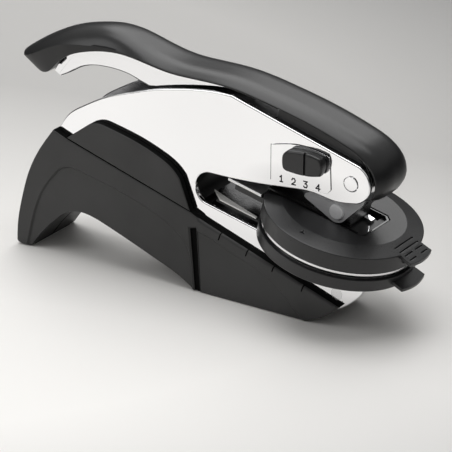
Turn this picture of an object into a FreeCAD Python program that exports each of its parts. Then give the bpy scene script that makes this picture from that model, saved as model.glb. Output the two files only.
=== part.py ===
import FreeCAD, Part
import math
import os

# Desk seal embosser: arched stand, two-plate press frame, lever, ram and a slide-out pair of dies.
# Millimetres. X runs from the handle to the dies, Y across to the left, Z up from the table.
# The part is drawn with X = 0 on the axis of the dies; it is moved onto the middle of its
# length when it is exported. The right side is built on -Y and the left side is its mirror.

V = FreeCAD.Vector
FRONT = V(1, 0, 0)
LEFT = V(0, 1, 0)
UP = V(0, 0, 1)
HERE = V(0, 0, 0)
HUGE = 400.0

# ---- overall sizes
overall_length = 151.6
disc_diameter = 52.0
frame_width = 21.0
panel_thickness = 2.5

# ---- clearances
slide_gap = 0.3
pin_fit = 0.05
seat_gap = 0.05

# ---- press frame
plate_thickness = 1.8
core_inset = 0.6
core_channel_rear = -46.0
rivet_radius = 2.0
frame_rivets_at = [(-84.0, 42.5), (-60.0, 34.0), (-29.0, 18.6)]
nose_radius = 6.8
jaw_channel_depth = 2.2
anvil_rear = -24.0
anvil_front = 13.0
anvil_thickness = 2.4
anvil_lift = 0.6
spacer_at = (4.0, 11.5)
spacer_radius = 3.0

# ---- lever and handle
pivot = (8.4, 50.1)
link = (2.0, 38.4)
pivot_pin_radius = 2.0
link_pin_radius = 2.0
rivet_head_radius = 2.6
rivet_head_height = 0.3
rivet_head_dome = 0.6
lever_sheet = 1.6
lever_play = 0.4
washer_thickness = 0.4
washer_radius = 4.2
cover_half_drawn = 9.5
cover_wall = 1.2
cover_play = 0.4
cover_screw_radius = 1.5
cover_screw_head_height = 1.2
cover_screws_at = [(-89.0, 72.4, 12.0, 7.8), (-52.0, 70.6, 0.0, 3.4)]

# ---- base
shell_wall = 2.2
shell_edge_round = 0.4
panel_gap = 0.3
panel_edge_round = 0.4
relief_depth = 0.5
foot_relief_depth = 0.3
groove_depth = 1.0
ticks_at = [(-38.7, 21.9), (-28.3, 18.8), (-18.3, 15.8), (-7.2, 11.7)]
tick_height = 2.6
tick_lean = 0.8
tick_width = 0.4
foot_lift = 0.4
foot_pad_inset = 3.0
rear_pad = (-119.0, -115.4)
front_pad = (-48.6, -7.0)
screw_radius = 1.4
screw_head_radius = 2.9
screw_head_height = 1.8
screw_head_round = 0.6
screw_head_sunk = 0.3
screw_bite = 1.5
recess_length = 3.2
recess_width = 0.7
recess_depth = 0.9
boss_radius = 3.4
screws_at = [(-110.5, 22.0), (-70.0, 19.5), (-38.0, 8.6)]

# ---- die stack, heights above the upper holder's rim along the jaw's normal
platform_height = 1.4
platform_radius = 20.0
upper_holder_height = 5.6
upper_die_step = 0.3
upper_die_height = 0.9
die_clearance = 0.6
lower_die_lift = 0.7
lower_holder_top = -8.1
lower_holder_height = 4.4
die_margin = 0.5
die_boss_inset = 2.0
ring_radius = 20.4
ring_width = 1.4
centre_radius = 6.4
impression_depth = 0.45
lower_ring_radius = 20.2
lower_ring_width = 1.0
lower_centre_radius = 6.2
relief_height = 0.3
cup_wall = 2.2
cup_floor = -10.4
upper_tab_length = 4.4
upper_tab_half_width = 6.4
upper_tab_bottom = -3.4
upper_tab_top = -0.4
upper_tab_flare = 0.5
lower_tab_length = 3.9
lower_tab_half_width = 5.8
lower_tab_bottom = -11.4
lower_tab_top = -9.0
tab_root = 6.0
tab_corner = 0.9
tab_groove_width = 0.9
tab_groove_depth = 0.5
upper_tab_grooves = [-1.6, 1.4]
lower_groove_width = 0.8
lower_groove_depth = 0.3
lower_tab_grooves = [0.8, 2.2]
pocket_margin = 1.5
pocket_front = 12.6
pocket_floor = 0.0
channel_floor = -2.7
channel_inner = 5.9
channel_front = 9.0
neck_slot_floor = -0.7
foot_slot_floor = -2.15
foot_slot_roof = -0.6
clip_rear = 3.2
clip_thickness = 0.8
clip_height = 1.7
clip_bevel = 1.4
clip_inset = 0.2
tongue_play = 0.7
tongue_root = 3.0
upper_tongue_rear = -36.0
upper_tongue_bottom = -5.2
upper_tongue_top = -3.3
upper_strip_rear = -39.0
upper_strip_thickness = 0.9
lower_tongue_rear = -41.5
lower_tongue_top = -11.7
tongue_grooves = [-6.6, -5.0, 4.2, 5.8]
tongue_groove_width = 0.8
tongue_groove_depth = 0.2
lower_strip_tip = -44.2
lower_strip_shoulder = -40.4
lower_strip_tip_half = 5.2
strip_thickness = 0.4
strip_gap = 0.2

# ---- ram
ram_top = 9.6
ram_rear = -8.0
ram_front = 5.6
ram_bottom = 1.0
neck_bottom = -1.0
foot_bottom = -1.85
foot_top = -0.9
ram_foot_step = 0.2
ram_neck_step = 1.8
foot_rear = -5.0
foot_front = 5.0
link_slot_rise = 0.5
link_travel = 4.4
guide_gap = 0.3
guide_inset = 0.4
guide_depth = 8.0
guide_bottom = 6.5
guide_top = 14.2

# ---- lock
lock_travel = 5.0
bezel_thickness = 0.25
button_depth = 2.8
button_round = 0.7
notch_left = -7.1
notch_width = 1.2
notch_depth = 0.6
stem_at = (-7.5, 54.3)
stem_width = 3.0
stem_height = 3.0
bar_thickness = 1.5
bar_rear = 6.5
bar_front = 2.2
bar_bottom = 52.4
bar_top = 56.4
bar_notch_count = 4
bar_notch_start = 5.6
bar_notch_pitch = 1.8
bar_notch_width = 0.7
bar_notch_depth = 0.4
leaf_width = 1.4
leaf_thickness = 0.5
mark_width = 0.4
mark_depth = 0.15
mark_height = 46.3
numbers = {
    1: [[(-0.5, 0.5), (0.0, 1.0), (0.0, -1.0)]],
    2: [[(-0.6, 0.5), (-0.3, 1.0), (0.3, 1.0), (0.6, 0.5), (0.5, 0.0), (-0.6, -1.0), (0.7, -1.0)]],
    3: [[(-0.6, 1.0), (0.6, 1.0), (-0.1, 0.2), (0.3, 0.2), (0.6, -0.2), (0.6, -0.6), (0.3, -1.0),
         (-0.3, -1.0), (-0.6, -0.7)]],
    4: [[(0.3, -1.0), (0.3, 1.0), (-0.7, -0.4), (0.7, -0.4)]],
}
numbers_at = [(1, -16.9), (2, -12.4), (3, -8.0), (4, -3.4)]

drawn_length = 151.6
stretch_front = -50.0
stretch_rear = -112.0
length_change = overall_length - drawn_length
drawn_middle = -46.3
middle = drawn_middle - length_change / 2.0
frame_half = frame_width / 2.0
base_half = frame_half + panel_thickness
bay_half = frame_half - plate_thickness
disc_radius = disc_diameter / 2.0
lever_half = bay_half - washer_thickness - lever_play
cheek_inner = lever_half - lever_sheet
cover_half = lever_half + cover_wall + cover_play
pocket_half_width = lever_half + pocket_margin
tongue_half_width = bay_half - tongue_play
ram_half_width = cheek_inner - slide_gap
guide_half = ram_half_width - guide_inset
foot_half_width = ram_half_width + ram_foot_step
neck_half_width = ram_half_width - ram_neck_step


def along(x):
    """Drawn X to built X: only the arm behind the dies stretches with the overall length."""
    share = (stretch_front - x) / (stretch_front - stretch_rear)
    return x - length_change * min(max(share, 0.0), 1.0)


def at(x, z, y=0.0):
    return V(along(x), y, z)


# ---- the jaw plane: everything in the die stack is square to it
jaw_rear = (-46.5, 31.4)
jaw_front = (14.5, 17.0)
jaw_depth = 13.4
jaw_tilt = math.atan2(jaw_rear[1] - jaw_front[1], along(jaw_front[0]) - along(jaw_rear[0]))
jaw_height = jaw_front[1] + jaw_front[0] * math.tan(jaw_tilt)
stack_origin = V(0, 0, jaw_height + jaw_depth / math.cos(jaw_tilt))
stack = FreeCAD.Placement(stack_origin, FreeCAD.Rotation(LEFT, math.degrees(jaw_tilt)))
unstack = stack.inverse()


def outline(segments):
    """Closed XZ face from ("line" | "arc" | "curve", [(x, z), ...]) stretches, end to start."""
    edges = []
    for kind, points in segments:
        p = [at(x, z) for x, z in points]
        if kind == "line":
            edges += [Part.makeLine(a, b) for a, b in zip(p, p[1:])]
        elif kind == "arc":
            edges.append(Part.Arc(p[0], p[1], p[2]).toShape())
        else:
            curve = Part.BSplineCurve()
            curve.interpolate(p)
            edges.append(curve.toShape())
    return Part.Face(Part.Wire(edges))


def inset_polygon(points, distance):
    """Closed polygon, drawn anticlockwise from the front, with every side moved inward."""
    count = len(points)
    lines = []
    for i in range(count):
        (x0, z0), (x1, z1) = points[i], points[(i + 1) % count]
        length = math.hypot(x1 - x0, z1 - z0)
        dx, dz = (x1 - x0) / length, (z1 - z0) / length
        lines.append((x0 - distance * dz, z0 + distance * dx, dx, dz))
    corners = []
    for i in range(count):
        x0, z0, dx0, dz0 = lines[i - 1]
        x1, z1, dx1, dz1 = lines[i]
        cross = dx0 * dz1 - dz0 * dx1
        t = ((x1 - x0) * dz1 - (z1 - z0) * dx1) / cross
        corners.append((x0 + t * dx0, z0 + t * dz0))
    return corners


def polygon(points):
    return outline([("line", list(points) + [points[0]])])


def slab(face, y0, y1):
    moved = face.copy()
    moved.translate(V(0, y0, 0))
    return moved.extrude(V(0, y1 - y0, 0))


def rod(x, z, radius, y0, y1):
    return Part.makeCylinder(radius, y1 - y0, V(x, y0, z), LEFT)


def block(u0, u1, v0, v1, w0, w1):
    """Box in the jaw's own directions: u forward, v left, w up along the normal."""
    box = Part.makeBox(u1 - u0, v1 - v0, w1 - w0, V(u0, v0, w0))
    box.Placement = stack.multiply(box.Placement)
    return box


def disc(radius, w0, w1):
    cylinder = Part.makeCylinder(radius, w1 - w0, V(0, 0, w0), UP)
    cylinder.Placement = stack.multiply(cylinder.Placement)
    return cylinder


def prism(points, w0, w1):
    """Upright prism in the jaw's directions over a closed (u, v) polygon."""
    corners = [V(u, v, w0) for u, v in points]
    face = Part.Face(Part.makePolygon(corners + [corners[0]]))
    solid = face.extrude(V(0, 0, w1 - w0))
    solid.Placement = stack.multiply(solid.Placement)
    return solid


def mirrored(shape):
    return shape.mirror(HERE, LEFT)


def joined(first, *others):
    return first.fuse(list(others)).removeSplitter()


def long_edges(shape, y):
    """Edges that lie flat in the plane of the given Y."""
    return [e for e in shape.Edges
            if abs(e.BoundBox.YMin - y) < 0.001 and abs(e.BoundBox.YMax - y) < 0.001]


def export(name, shape):
    moved = shape.copy()
    moved.translate(V(-middle, 0, 0))
    moved.exportStep("parts/" + name + ".step")


# ------------------------------------------------------------------ press frame

def nose_point(angle_deg, radius=nose_radius):
    a = math.radians(angle_deg)
    return (pivot[0] + radius * math.cos(a), pivot[1] + radius * math.sin(a))


nose_top = nose_point(74)
nose_end = nose_point(-70)


def plate_face():
    return outline([
        ("curve", [(-103.4, 45.4), (-100.1, 50.2), (-93.5, 54.9), (-85.0, 59.5), (-74.3, 63.4),
                   (-67.6, 65.6), (-57.9, 67.9), (-47.5, 69.7), (-41.8, 70.2), (-35.8, 70.1)]),
        ("line", [(-35.8, 70.1), nose_top]),
        ("arc", [nose_top, nose_point(0), nose_end]),
        ("curve", [nose_end, (2.3, 42.8), (-5.0, 43.9), (-13.5, 43.6), (-22.3, 42.8),
                   (-29.6, 42.3), (-37.6, 42.0), (-44.2, 42.0)]),
        ("arc", [(-44.2, 42.0), (-49.6, 36.4), (-46.5, 31.4)]),
        ("line", [jaw_rear, jaw_front]),
        ("curve", [jaw_front, (13.6, 14.2), (10.6, 10.6), (5.6, 6.8), (3.0, 5.4)]),
        ("line", [(3.0, 5.4), (0.0, 5.4), (-50.0, 22.5), (-90.0, 37.0), (-99.6, 43.2)]),
        ("curve", [(-99.6, 43.2), (-101.6, 43.2), (-103.4, 45.4)]),
    ])


def stem_slot(y0, y1):
    x0 = stem_at[0] - stem_width / 2.0 - lock_travel - slide_gap
    x1 = stem_at[0] + stem_width / 2.0 + slide_gap
    z0 = stem_at[1] - stem_height / 2.0 - slide_gap
    z1 = stem_at[1] + stem_height / 2.0 + slide_gap
    return slab(polygon([(x0, z0), (x1, z0), (x1, z1), (x0, z1)]), y0, y1)


def frame_plate(side):
    """side -1 is the right plate, +1 the left one, which has no slot for the lock."""
    plate = slab(plate_face(), -frame_half, -bay_half)
    holes = [rod(along(x), z, rivet_radius, -HUGE, HUGE) for x, z in frame_rivets_at]
    holes.append(rod(pivot[0], pivot[1], pivot_pin_radius, -HUGE, HUGE))
    holes.append(rod(spacer_at[0], spacer_at[1], rivet_radius, -HUGE, HUGE))
    if side < 0:
        holes.append(stem_slot(-HUGE, HUGE))
    plate = plate.cut(holes)
    return plate if side < 0 else mirrored(plate)


def core_face():
    return outline([
        ("arc", [(-43.8, 44.8), (-49.6 - core_inset, 36.4), (-47.0, 30.6)]),
        ("line", [(-47.0, 30.6), (-47.0, 26.0), (-23.4, 26.0), (-23.4, 14.0), (-50.0, 23.1),
                  (-90.0, 37.6), (-98.6, 43.3), (-98.2, 46.0), (-84.0, 54.5), (-62.0, 62.0),
                  (-34.0, 65.5), (-24.0, 63.0), (-24.0, 50.5), (-16.6, 50.5), (-16.6, 45.2),
                  (-43.8, 44.8)]),
    ])


def frame_core():
    """Black filler between the plates; it also lines the end of the throat."""
    channel = block(core_channel_rear, HUGE, -HUGE, HUGE, -jaw_depth - jaw_channel_depth, 0)
    holes = [rod(along(x), z, rivet_radius, -HUGE, HUGE) for x, z in frame_rivets_at]
    return slab(core_face(), -bay_half, bay_half).cut([channel] + holes)


def frame_rivet(x, z):
    return rod(along(x), z, rivet_radius, -frame_half, frame_half)


def anvil_plate():
    top = -jaw_depth + anvil_lift
    return block(anvil_rear, anvil_front, -bay_half, bay_half, top - anvil_thickness, top)


def jaw_spacer():
    tube = rod(spacer_at[0], spacer_at[1], spacer_radius, -bay_half, bay_half)
    return joined(tube, rod(spacer_at[0], spacer_at[1], rivet_radius, -frame_half, frame_half))


# ------------------------------------------------------------------ base

def shell_face():
    return outline([
        ("curve", [(-104.6, 44.7), (-109.7, 37.8), (-115.1, 27.9), (-118.4, 17.5),
                   (-120.6, 6.7), (-120.9, 1.4)]),
        ("arc", [(-120.9, 1.4), (-120.2, 0.4), (-119.0, foot_lift)]),
        ("line", [(-119.0, foot_lift), (-115.2, foot_lift)]),
        ("curve", [(-115.2, foot_lift), (-111.8, 5.0), (-106.5, 10.8), (-101.8, 14.8),
                   (-98.3, 16.7), (-94.3, 17.4), (-90.3, 17.0), (-83.0, 14.8), (-73.3, 11.3),
                   (-63.6, 7.6), (-54.1, 3.6), (-49.0, foot_lift)]),
        ("line", [(-49.0, foot_lift), (-6.5, foot_lift)]),
        ("curve", [(-6.5, foot_lift), (-0.2, 3.0), (4.2, 6.2), (6.8, 8.7)]),
        ("line", [(6.8, 8.7), (-43.2, 25.8)]),
        ("curve", [(-43.2, 25.8), (-46.6, 27.0), (-50.4, 27.9)]),
        ("line", [(-50.4, 27.9), (-99.4, 42.7), (-104.6, 44.7)]),
    ])


def cavity_face():
    """Inside of the stand, one wall in from the coarse outline of the shells."""
    return polygon(inset_polygon([
        (-104.6, 44.7), (-109.7, 37.8), (-115.1, 27.9), (-118.4, 17.5), (-119.9, 8.0),
        (-109.4, 8.0), (-101.8, 14.8), (-94.3, 17.4), (-83.0, 14.8), (-63.6, 7.6),
        (-49.0, foot_lift), (-6.5, foot_lift), (6.8, 8.7), (-43.2, 25.8), (-50.4, 27.9),
        (-99.4, 42.7)], shell_wall))


def bay_face():
    """Room for the press frame, which drops in from above."""
    low = inset_polygon([(-103.6, 120.0), (-103.6, 45.0), (-101.9, 42.5), (-99.6, 42.7),
                         (-90.0, 37.0), (-50.0, 22.5), (0.0, 5.4), (40.0, 5.4),
                         (40.0, 120.0)], -seat_gap)
    return polygon(low)


def leg_relief():
    return outline([
        ("curve", [(-117.0, -2.0), (-115.9, 2.0), (-113.0, 13.0), (-108.7, 22.8),
                   (-102.4, 30.7)]),
        ("curve", [(-102.4, 30.7), (-100.2, 31.9), (-92.5, 31.7), (-77.9, 28.5),
                   (-68.3, 25.5), (-58.7, 21.4), (-51.6, 15.0), (-49.8, 2.4),
                   (-49.4, -2.0)]),
        ("line", [(-49.4, -2.0), (-117.0, -2.0)]),
    ])


def foot_relief():
    return outline([
        ("curve", [(-47.4, 21.6), (-42.0, 20.2), (-35.2, 17.5), (-23.6, 13.4), (-16.3, 8.9),
                   (-11.4, 4.3), (-7.1, 0.0), (-5.5, -2.0)]),
        ("line", [(-5.5, -2.0), (-46.2, -2.0), (-47.4, 21.6)]),
    ])


def upright_groove():
    return polygon([(-49.4, 22.3), (-47.5, 22.8), (-45.9, -1.0), (-46.9, -1.0)])


def panel_face():
    return outline([
        ("line", [(-99.1, 43.2), (-89.2, 50.3)]),
        ("curve", [(-89.2, 50.3), (-85.4, 51.7), (-79.8, 51.1), (-71.0, 48.9), (-61.3, 45.5),
                   (-55.2, 42.2), (-52.9, 39.6)]),
        ("line", [(-52.9, 39.6), (-49.6, 28.2), (-99.1, 43.2)]),
    ])


def shell_half(side):
    body = slab(shell_face(), -base_half, 0)
    body = body.makeFillet(shell_edge_round, long_edges(body, -base_half))
    cavity = slab(cavity_face(), shell_wall - base_half, 1.0)
    bay = slab(bay_face(), -frame_half - seat_gap, 1.0)
    bosses = []
    for x, z in screws_at:
        bosses.append(rod(along(x), z, boss_radius, -base_half + relief_depth, 0))
    body = joined(body.cut([cavity, bay]), *bosses)
    tools = [slab(leg_relief(), -HUGE, relief_depth - base_half),
             slab(foot_relief(), -HUGE, foot_relief_depth - base_half),
             slab(upright_groove(), -HUGE, groove_depth - base_half)]
    for x, z in ticks_at:
        low, high = z - tick_height / 2.0, z + tick_height / 2.0
        left = x - (tick_lean + tick_width) / 2.0
        tick = polygon([(left, low), (left + tick_width, low),
                        (left + tick_lean + tick_width, high), (left + tick_lean, high)])
        tools.append(slab(tick, -HUGE, relief_depth - base_half))
    for x, z in screws_at:
        if side > 0:
            tools.append(rod(along(x), z, screw_radius + slide_gap, -HUGE, 0.5))
            tools.append(rod(along(x), z, screw_head_radius + slide_gap, -HUGE,
                             screw_seat()))
        else:
            tools.append(rod(along(x), z, screw_radius, screw_hole_end(), 0.5))
    body = body.cut(tools)
    return body if side < 0 else mirrored(body)


def screw_seat():
    return -base_half + relief_depth + screw_head_height + screw_head_sunk


def screw_hole_end():
    return -base_half + shell_wall + screw_bite - 0.5


def base_screw(x, z):
    """Pan-head screw from the left side into the right half's boss."""
    seat = -screw_seat()
    shank_end = -base_half + shell_wall + screw_bite
    head = rod(along(x), z, screw_head_radius, seat, seat + screw_head_height)
    head = head.makeFillet(screw_head_round, long_edges(head, seat + screw_head_height))
    shank = rod(along(x), z, screw_radius, shank_end, seat)
    turned = []
    for angle in (0, 90):
        bar = Part.makeBox(recess_length, 2 * recess_depth, recess_width,
                           V(-recess_length / 2.0, 0, -recess_width / 2.0))
        bar.rotate(HERE, LEFT, angle)
        bar.translate(V(along(x), seat + screw_head_height - recess_depth, z))
        turned.append(bar)
    return joined(head, shank).cut(turned)


def side_panel(side):
    panel = slab(panel_face(), -base_half, -frame_half)
    panel = panel.makeFillet(panel_edge_round, long_edges(panel, -base_half))
    return panel if side < 0 else mirrored(panel)


def foot_pad(x0, x1):
    """Thin non-slip pad, let into the shells' underside."""
    half = base_half - foot_pad_inset
    return Part.makeBox(along(x1) - along(x0), 2 * half, foot_lift, V(along(x0), -half, 0))


# ------------------------------------------------------------------ lever

lever_top = [(-107.2, 63.6), (-105.0, 67.0), (-100.7, 70.5), (-94.0, 73.1), (-87.3, 74.5),
             (-80.8, 75.0), (-73.5, 74.4), (-61.4, 72.5), (-50.2, 72.2), (-37.9, 71.9),
             (-24.0, 69.7), (-11.0, 66.8), (6.2, 60.9), (11.0, 57.4), (13.4, 53.6),
             (14.0, 50.0), (13.3, 46.6)]


def inset(points, distance):
    """Open polyline moved to its right-hand side by the given distance."""
    result = []
    last = len(points) - 1
    for i, (x, z) in enumerate(points):
        x0, z0 = points[max(i - 1, 0)]
        x1, z1 = points[min(i + 1, last)]
        length = math.hypot(x1 - x0, z1 - z0)
        result.append((x + distance * (z1 - z0) / length, z - distance * (x1 - x0) / length))
    return result


def lever_face():
    return outline([
        ("curve", lever_top),
        ("line", [lever_top[-1], (11.6, 42.6), (4.4, 35.4)]),
        ("arc", [(4.4, 35.4), (2.2, 34.5), (-0.2, 35.0)]),
        ("line", [(-0.2, 35.0), (-9.6, 40.2)]),
        ("arc", [(-9.6, 40.2), (-10.2, 41.2), (-9.6, 42.2)]),
        ("line", [(-9.6, 42.2), (-3.0, 45.4), (1.4, 49.6), (1.0, 57.0), (-4.0, 62.2),
                  (-12.0, 65.6), (-33.0, 71.0)]),
        ("curve", [(-33.0, 71.0), (-41.0, 71.1), (-47.0, 70.4), (-55.4, 68.9), (-63.7, 66.9),
                   (-69.4, 65.2)]),
        ("curve", [(-69.4, 65.2), (-73.8, 66.6), (-76.4, 67.5), (-81.9, 68.4), (-86.8, 68.5),
                   (-91.7, 68.0), (-96.7, 66.4), (-100.4, 64.2), (-105.2, 61.6)]),
        ("line", [(-105.2, 61.6), lever_top[0]]),
    ])


def lever():
    body = slab(lever_face(), -lever_half, lever_half)
    under = inset(lever_top, lever_sheet)
    hollow = outline([
        ("curve", under),
        ("line", [under[-1], (under[-1][0] - 1.5, 30.0), (-150.0, 30.0), (-150.0, 63.0),
                  under[0]]),
    ])
    body = body.cut(slab(hollow, -cheek_inner, cheek_inner))
    holes = [rod(pivot[0], pivot[1], pivot_pin_radius + pin_fit, -HUGE, HUGE),
             rod(link[0], link[1], link_pin_radius, -HUGE, HUGE)]
    screws = [cover_screw(*place) for place in cover_screws_at]
    return body.cut(holes + screws)


# Edge point at the cover's side, direction of its crown, wall height, crown height,
# half width and how full the crown's shoulders are
cover_stations = [
    (-118.4, 65.6, 152, 1.6, 0.6, 3.8, 0.60),
    (-115.2, 62.8, 148, 6.2, 1.8, 6.8, 0.56),
    (-110.4, 62.4, 139, 7.9, 3.2, 8.6, 0.50),
    (-105.4, 66.6, 122, 5.9, 3.6, 9.2, 0.46),
    (-100.8, 70.2, 109, 4.0, 4.0, 9.5, 0.46),
    (-94.0, 72.9, 98, 2.4, 4.8, 9.5, 0.47),
    (-87.3, 74.4, 92, 1.6, 5.1, 9.5, 0.50),
    (-80.8, 75.0, 86, 1.0, 4.3, 9.5, 0.54),
    (-73.5, 74.4, 82, 0.6, 2.8, 9.5, 0.58),
    (-61.4, 72.4, 86, 0.5, 2.0, 9.4, 0.58),
    (-50.2, 72.1, 90, 0.5, 1.9, 9.3, 0.58),
    (-37.9, 71.8, 86, 0.5, 1.8, 9.3, 0.58),
    (-24.0, 69.5, 78, 0.5, 1.8, 9.3, 0.58),
    (-11.0, 66.5, 74, 0.5, 1.9, 9.3, 0.58),
    (5.0, 61.4, 68, 0.5, 2.1, 9.3, 0.58),
    (11.8, 57.8, 46, 0.6, 2.7, 9.3, 0.56),
    (15.4, 53.6, 16, 0.6, 2.9, 9.3, 0.54),
    (16.1, 49.9, -6, 0.6, 2.3, 9.2, 0.54),
    (14.6, 45.6, -24, 0.5, 1.3, 9.0, 0.54),
]


def cover_loft(stations, inward, drop):
    """Loft through sections that stand across the lever; inward > 0 gives the inner skin."""
    wires = []
    for x, z, angle, wall, crown, half, full in stations:
        a = math.radians(angle)
        rise = V(math.cos(a), 0, math.sin(a))
        half = half * cover_half / cover_half_drawn - inward
        crown = max(crown - inward, 0.5 * crown)
        edge = at(x, z)

        def place(side, height):
            return edge + rise * height + V(0, side * half, 0)

        arch = Part.BSplineCurve()
        arch.interpolate([place(-1, wall), place(-0.8, wall + full * crown),
                          place(0, wall + crown), place(0.8, wall + full * crown),
                          place(1, wall)])
        wires.append(Part.Wire([Part.makeLine(place(-1, -drop), place(-1, wall)),
                                arch.toShape(),
                                Part.makeLine(place(1, wall), place(1, -drop)),
                                Part.makeLine(place(1, -drop), place(-1, -drop))]))
    return Part.makeLoft(wires, True, False)


def handle_cover():
    outer = cover_loft(cover_stations, 0.0, 0.0)
    inner = cover_loft(cover_stations[2:], cover_wall, 3.0)
    screws = [cover_screw(*place) for place in cover_screws_at]
    return outer.cut([inner] + screws)


def cover_screw(x, z, lean, length):
    """Short screw up through the lever's web into the cover, square to the web."""
    head = Part.makeCylinder(2 * cover_screw_radius, cover_screw_head_height,
                             V(0, 0, -cover_screw_head_height), UP)
    shape = joined(head, Part.makeCylinder(cover_screw_radius, length, HERE, UP))
    shape.rotate(HERE, LEFT, -lean)
    shape.translate(at(x, z))
    return shape


def domed_rivet(x, z, radius, half_length, head_height):
    """Rivet across the part, with a low domed head on both ends."""
    shape = rod(x, z, radius, -half_length, half_length)
    heads = []
    for side in (-1, 1):
        y0 = half_length if side > 0 else -half_length - head_height
        head = rod(x, z, rivet_head_radius, y0, y0 + head_height)
        rim = long_edges(head, side * (half_length + head_height))
        heads.append(head.makeFillet(rivet_head_dome * head_height, rim))
    return joined(shape, *heads)


def washer(side):
    y0 = -bay_half if side < 0 else bay_half - washer_thickness
    ring = rod(pivot[0], pivot[1], washer_radius, y0, y0 + washer_thickness)
    return ring.cut(rod(pivot[0], pivot[1], pivot_pin_radius, -HUGE, HUGE))


spring_wire = 0.45
spring_radius = 3.1
spring_turns = 5
spring_foot = (-10.6, 51.8)
spring_toe = (0.5, 61.0)
spring_foot_angle = 94.2
spring_toe_angle = 202.2


def return_spring():
    """Close-wound torsion spring round the pivot pin: one leg on the guide, one on the lever."""
    inner = spring_radius - spring_wire
    outer = spring_radius + spring_wire
    y0 = -spring_turns * spring_wire
    edges = []
    for i in range(spring_turns):
        left = y0 + 2 * i * spring_wire
        edges.append(Part.Arc(V(spring_radius, left, 0), V(outer, left + spring_wire, 0),
                              V(spring_radius, left + 2 * spring_wire, 0)).toShape())
    corners = [V(spring_radius, -y0, 0), V(inner, -y0, 0), V(inner, y0, 0),
               V(spring_radius, y0, 0)]
    edges += [Part.makeLine(a, b) for a, b in zip(corners, corners[1:])]
    coil = Part.Face(Part.Wire(edges)).revolve(HERE, LEFT, 360)
    coil.translate(V(pivot[0], 0, pivot[1]))
    legs = []
    for y, angle, rest in ((y0 + spring_wire, spring_foot_angle, spring_foot),
                           (-y0 - spring_wire, spring_toe_angle, spring_toe)):
        a = math.radians(angle)
        start = V(pivot[0] + spring_radius * math.cos(a), y,
                  pivot[1] + spring_radius * math.sin(a))
        step = V(rest[0], y, rest[1]) - start
        legs.append(Part.makeCylinder(0.98 * spring_wire, step.Length, start, step))
    return joined(coil, *legs)


# ------------------------------------------------------------------ ram and dies

def link_uw():
    p = unstack.multVec(V(link[0], 0, link[1]))
    return p.x, p.z


def ram():
    u, w = link_uw()
    body = block(ram_rear, ram_front, -ram_half_width, ram_half_width, ram_bottom, ram_top)
    neck = block(foot_rear, foot_front, -neck_half_width, neck_half_width, neck_bottom,
                 ram_bottom)
    foot = block(foot_rear, foot_front, -foot_half_width, foot_half_width, foot_bottom,
                 foot_top)
    slot_half = link_pin_radius + link_slot_rise
    rear = u - link_travel
    slot = block(rear, u, -HUGE, HUGE, w - slot_half, w + slot_half)
    ends = []
    for centre in (rear, u):
        end = Part.makeCylinder(slot_half, 2 * HUGE, V(centre, -HUGE, w), LEFT)
        end.Placement = stack.multiply(end.Placement)
        ends.append(end)
    return joined(body, neck, foot).cut([slot] + ends)


def ram_guide():
    """Block behind the ram, screwed to the front of the core."""
    front = ram_rear - guide_gap
    body = block(front - guide_depth, front, -guide_half, guide_half, guide_bottom, guide_top)
    behind = slab(polygon([(-60, 0), (-16.6, 0), (-16.6, 90), (-60, 90)]), -HUGE, HUGE)
    return body.cut(behind)


def tab(length, half, w0, w1, flare):
    """Finger tab on the front of a holder, its outer corners cut off."""
    r = disc_radius
    c = tab_corner
    tip = r + length
    return prism([(r - tab_root, -half), (tip - c, -half - flare), (tip, -half - flare + c),
                  (tip, half + flare - c), (tip - c, half + flare), (r - tab_root, half)], w0, w1)


def upper_die_holder():
    r = disc_radius
    body = disc(r, -upper_holder_height, 0)
    cone = Part.makeCone(r, platform_radius, platform_height, HERE, UP)
    cone.Placement = stack.multiply(cone.Placement)
    tongue = block(upper_tongue_rear, -r + tongue_root, -tongue_half_width, tongue_half_width,
                   upper_tongue_bottom, upper_tongue_top)
    finger = tab(upper_tab_length, upper_tab_half_width, upper_tab_bottom, upper_tab_top,
                 upper_tab_flare)
    body = joined(body, cone, finger, tongue)
    rear = -HUGE
    cuts = [block(rear, pocket_front, -pocket_half_width, pocket_half_width,
                  pocket_floor, HUGE / 2),
            block(rear, foot_front + slide_gap, -neck_half_width - slide_gap,
                  neck_half_width + slide_gap, neck_slot_floor, pocket_floor + 0.1),
            block(rear, foot_front + slide_gap, -foot_half_width - slide_gap,
                  foot_half_width + slide_gap, foot_slot_floor, foot_slot_roof)]
    for v0, v1 in ((-pocket_half_width, -channel_inner), (channel_inner, pocket_half_width)):
        cuts.append(block(rear, channel_front, v0, v1, channel_floor, HUGE / 2))
    for step in upper_tab_grooves:
        cuts.append(block(r + step, r + step + tab_groove_width, 0.4 - upper_tab_half_width,
                          upper_tab_half_width - 0.4, upper_tab_top - tab_groove_depth, 0.4))
    return body.cut(cuts)


def upper_strip():
    """Steel strip on the tongue that keys the holder between the frame plates."""
    return block(upper_strip_rear, -disc_radius - strip_gap, -tongue_half_width,
                 tongue_half_width, upper_tongue_top, upper_tongue_top + upper_strip_thickness)


def upper_die():
    w = -upper_holder_height
    boss = disc(disc_radius - die_boss_inset, w - upper_die_step, w)
    plate = disc(disc_radius - die_margin, w - upper_die_step - upper_die_height,
                 w - upper_die_step)
    body = joined(boss, plate)
    floor = w - upper_die_step - upper_die_height
    ring = disc(ring_radius, floor, floor + impression_depth)
    ring = ring.cut(disc(ring_radius - ring_width, floor - 1, floor + 1))
    inner = disc(centre_radius, floor, floor + impression_depth)
    return body.cut([ring, inner])


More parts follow.
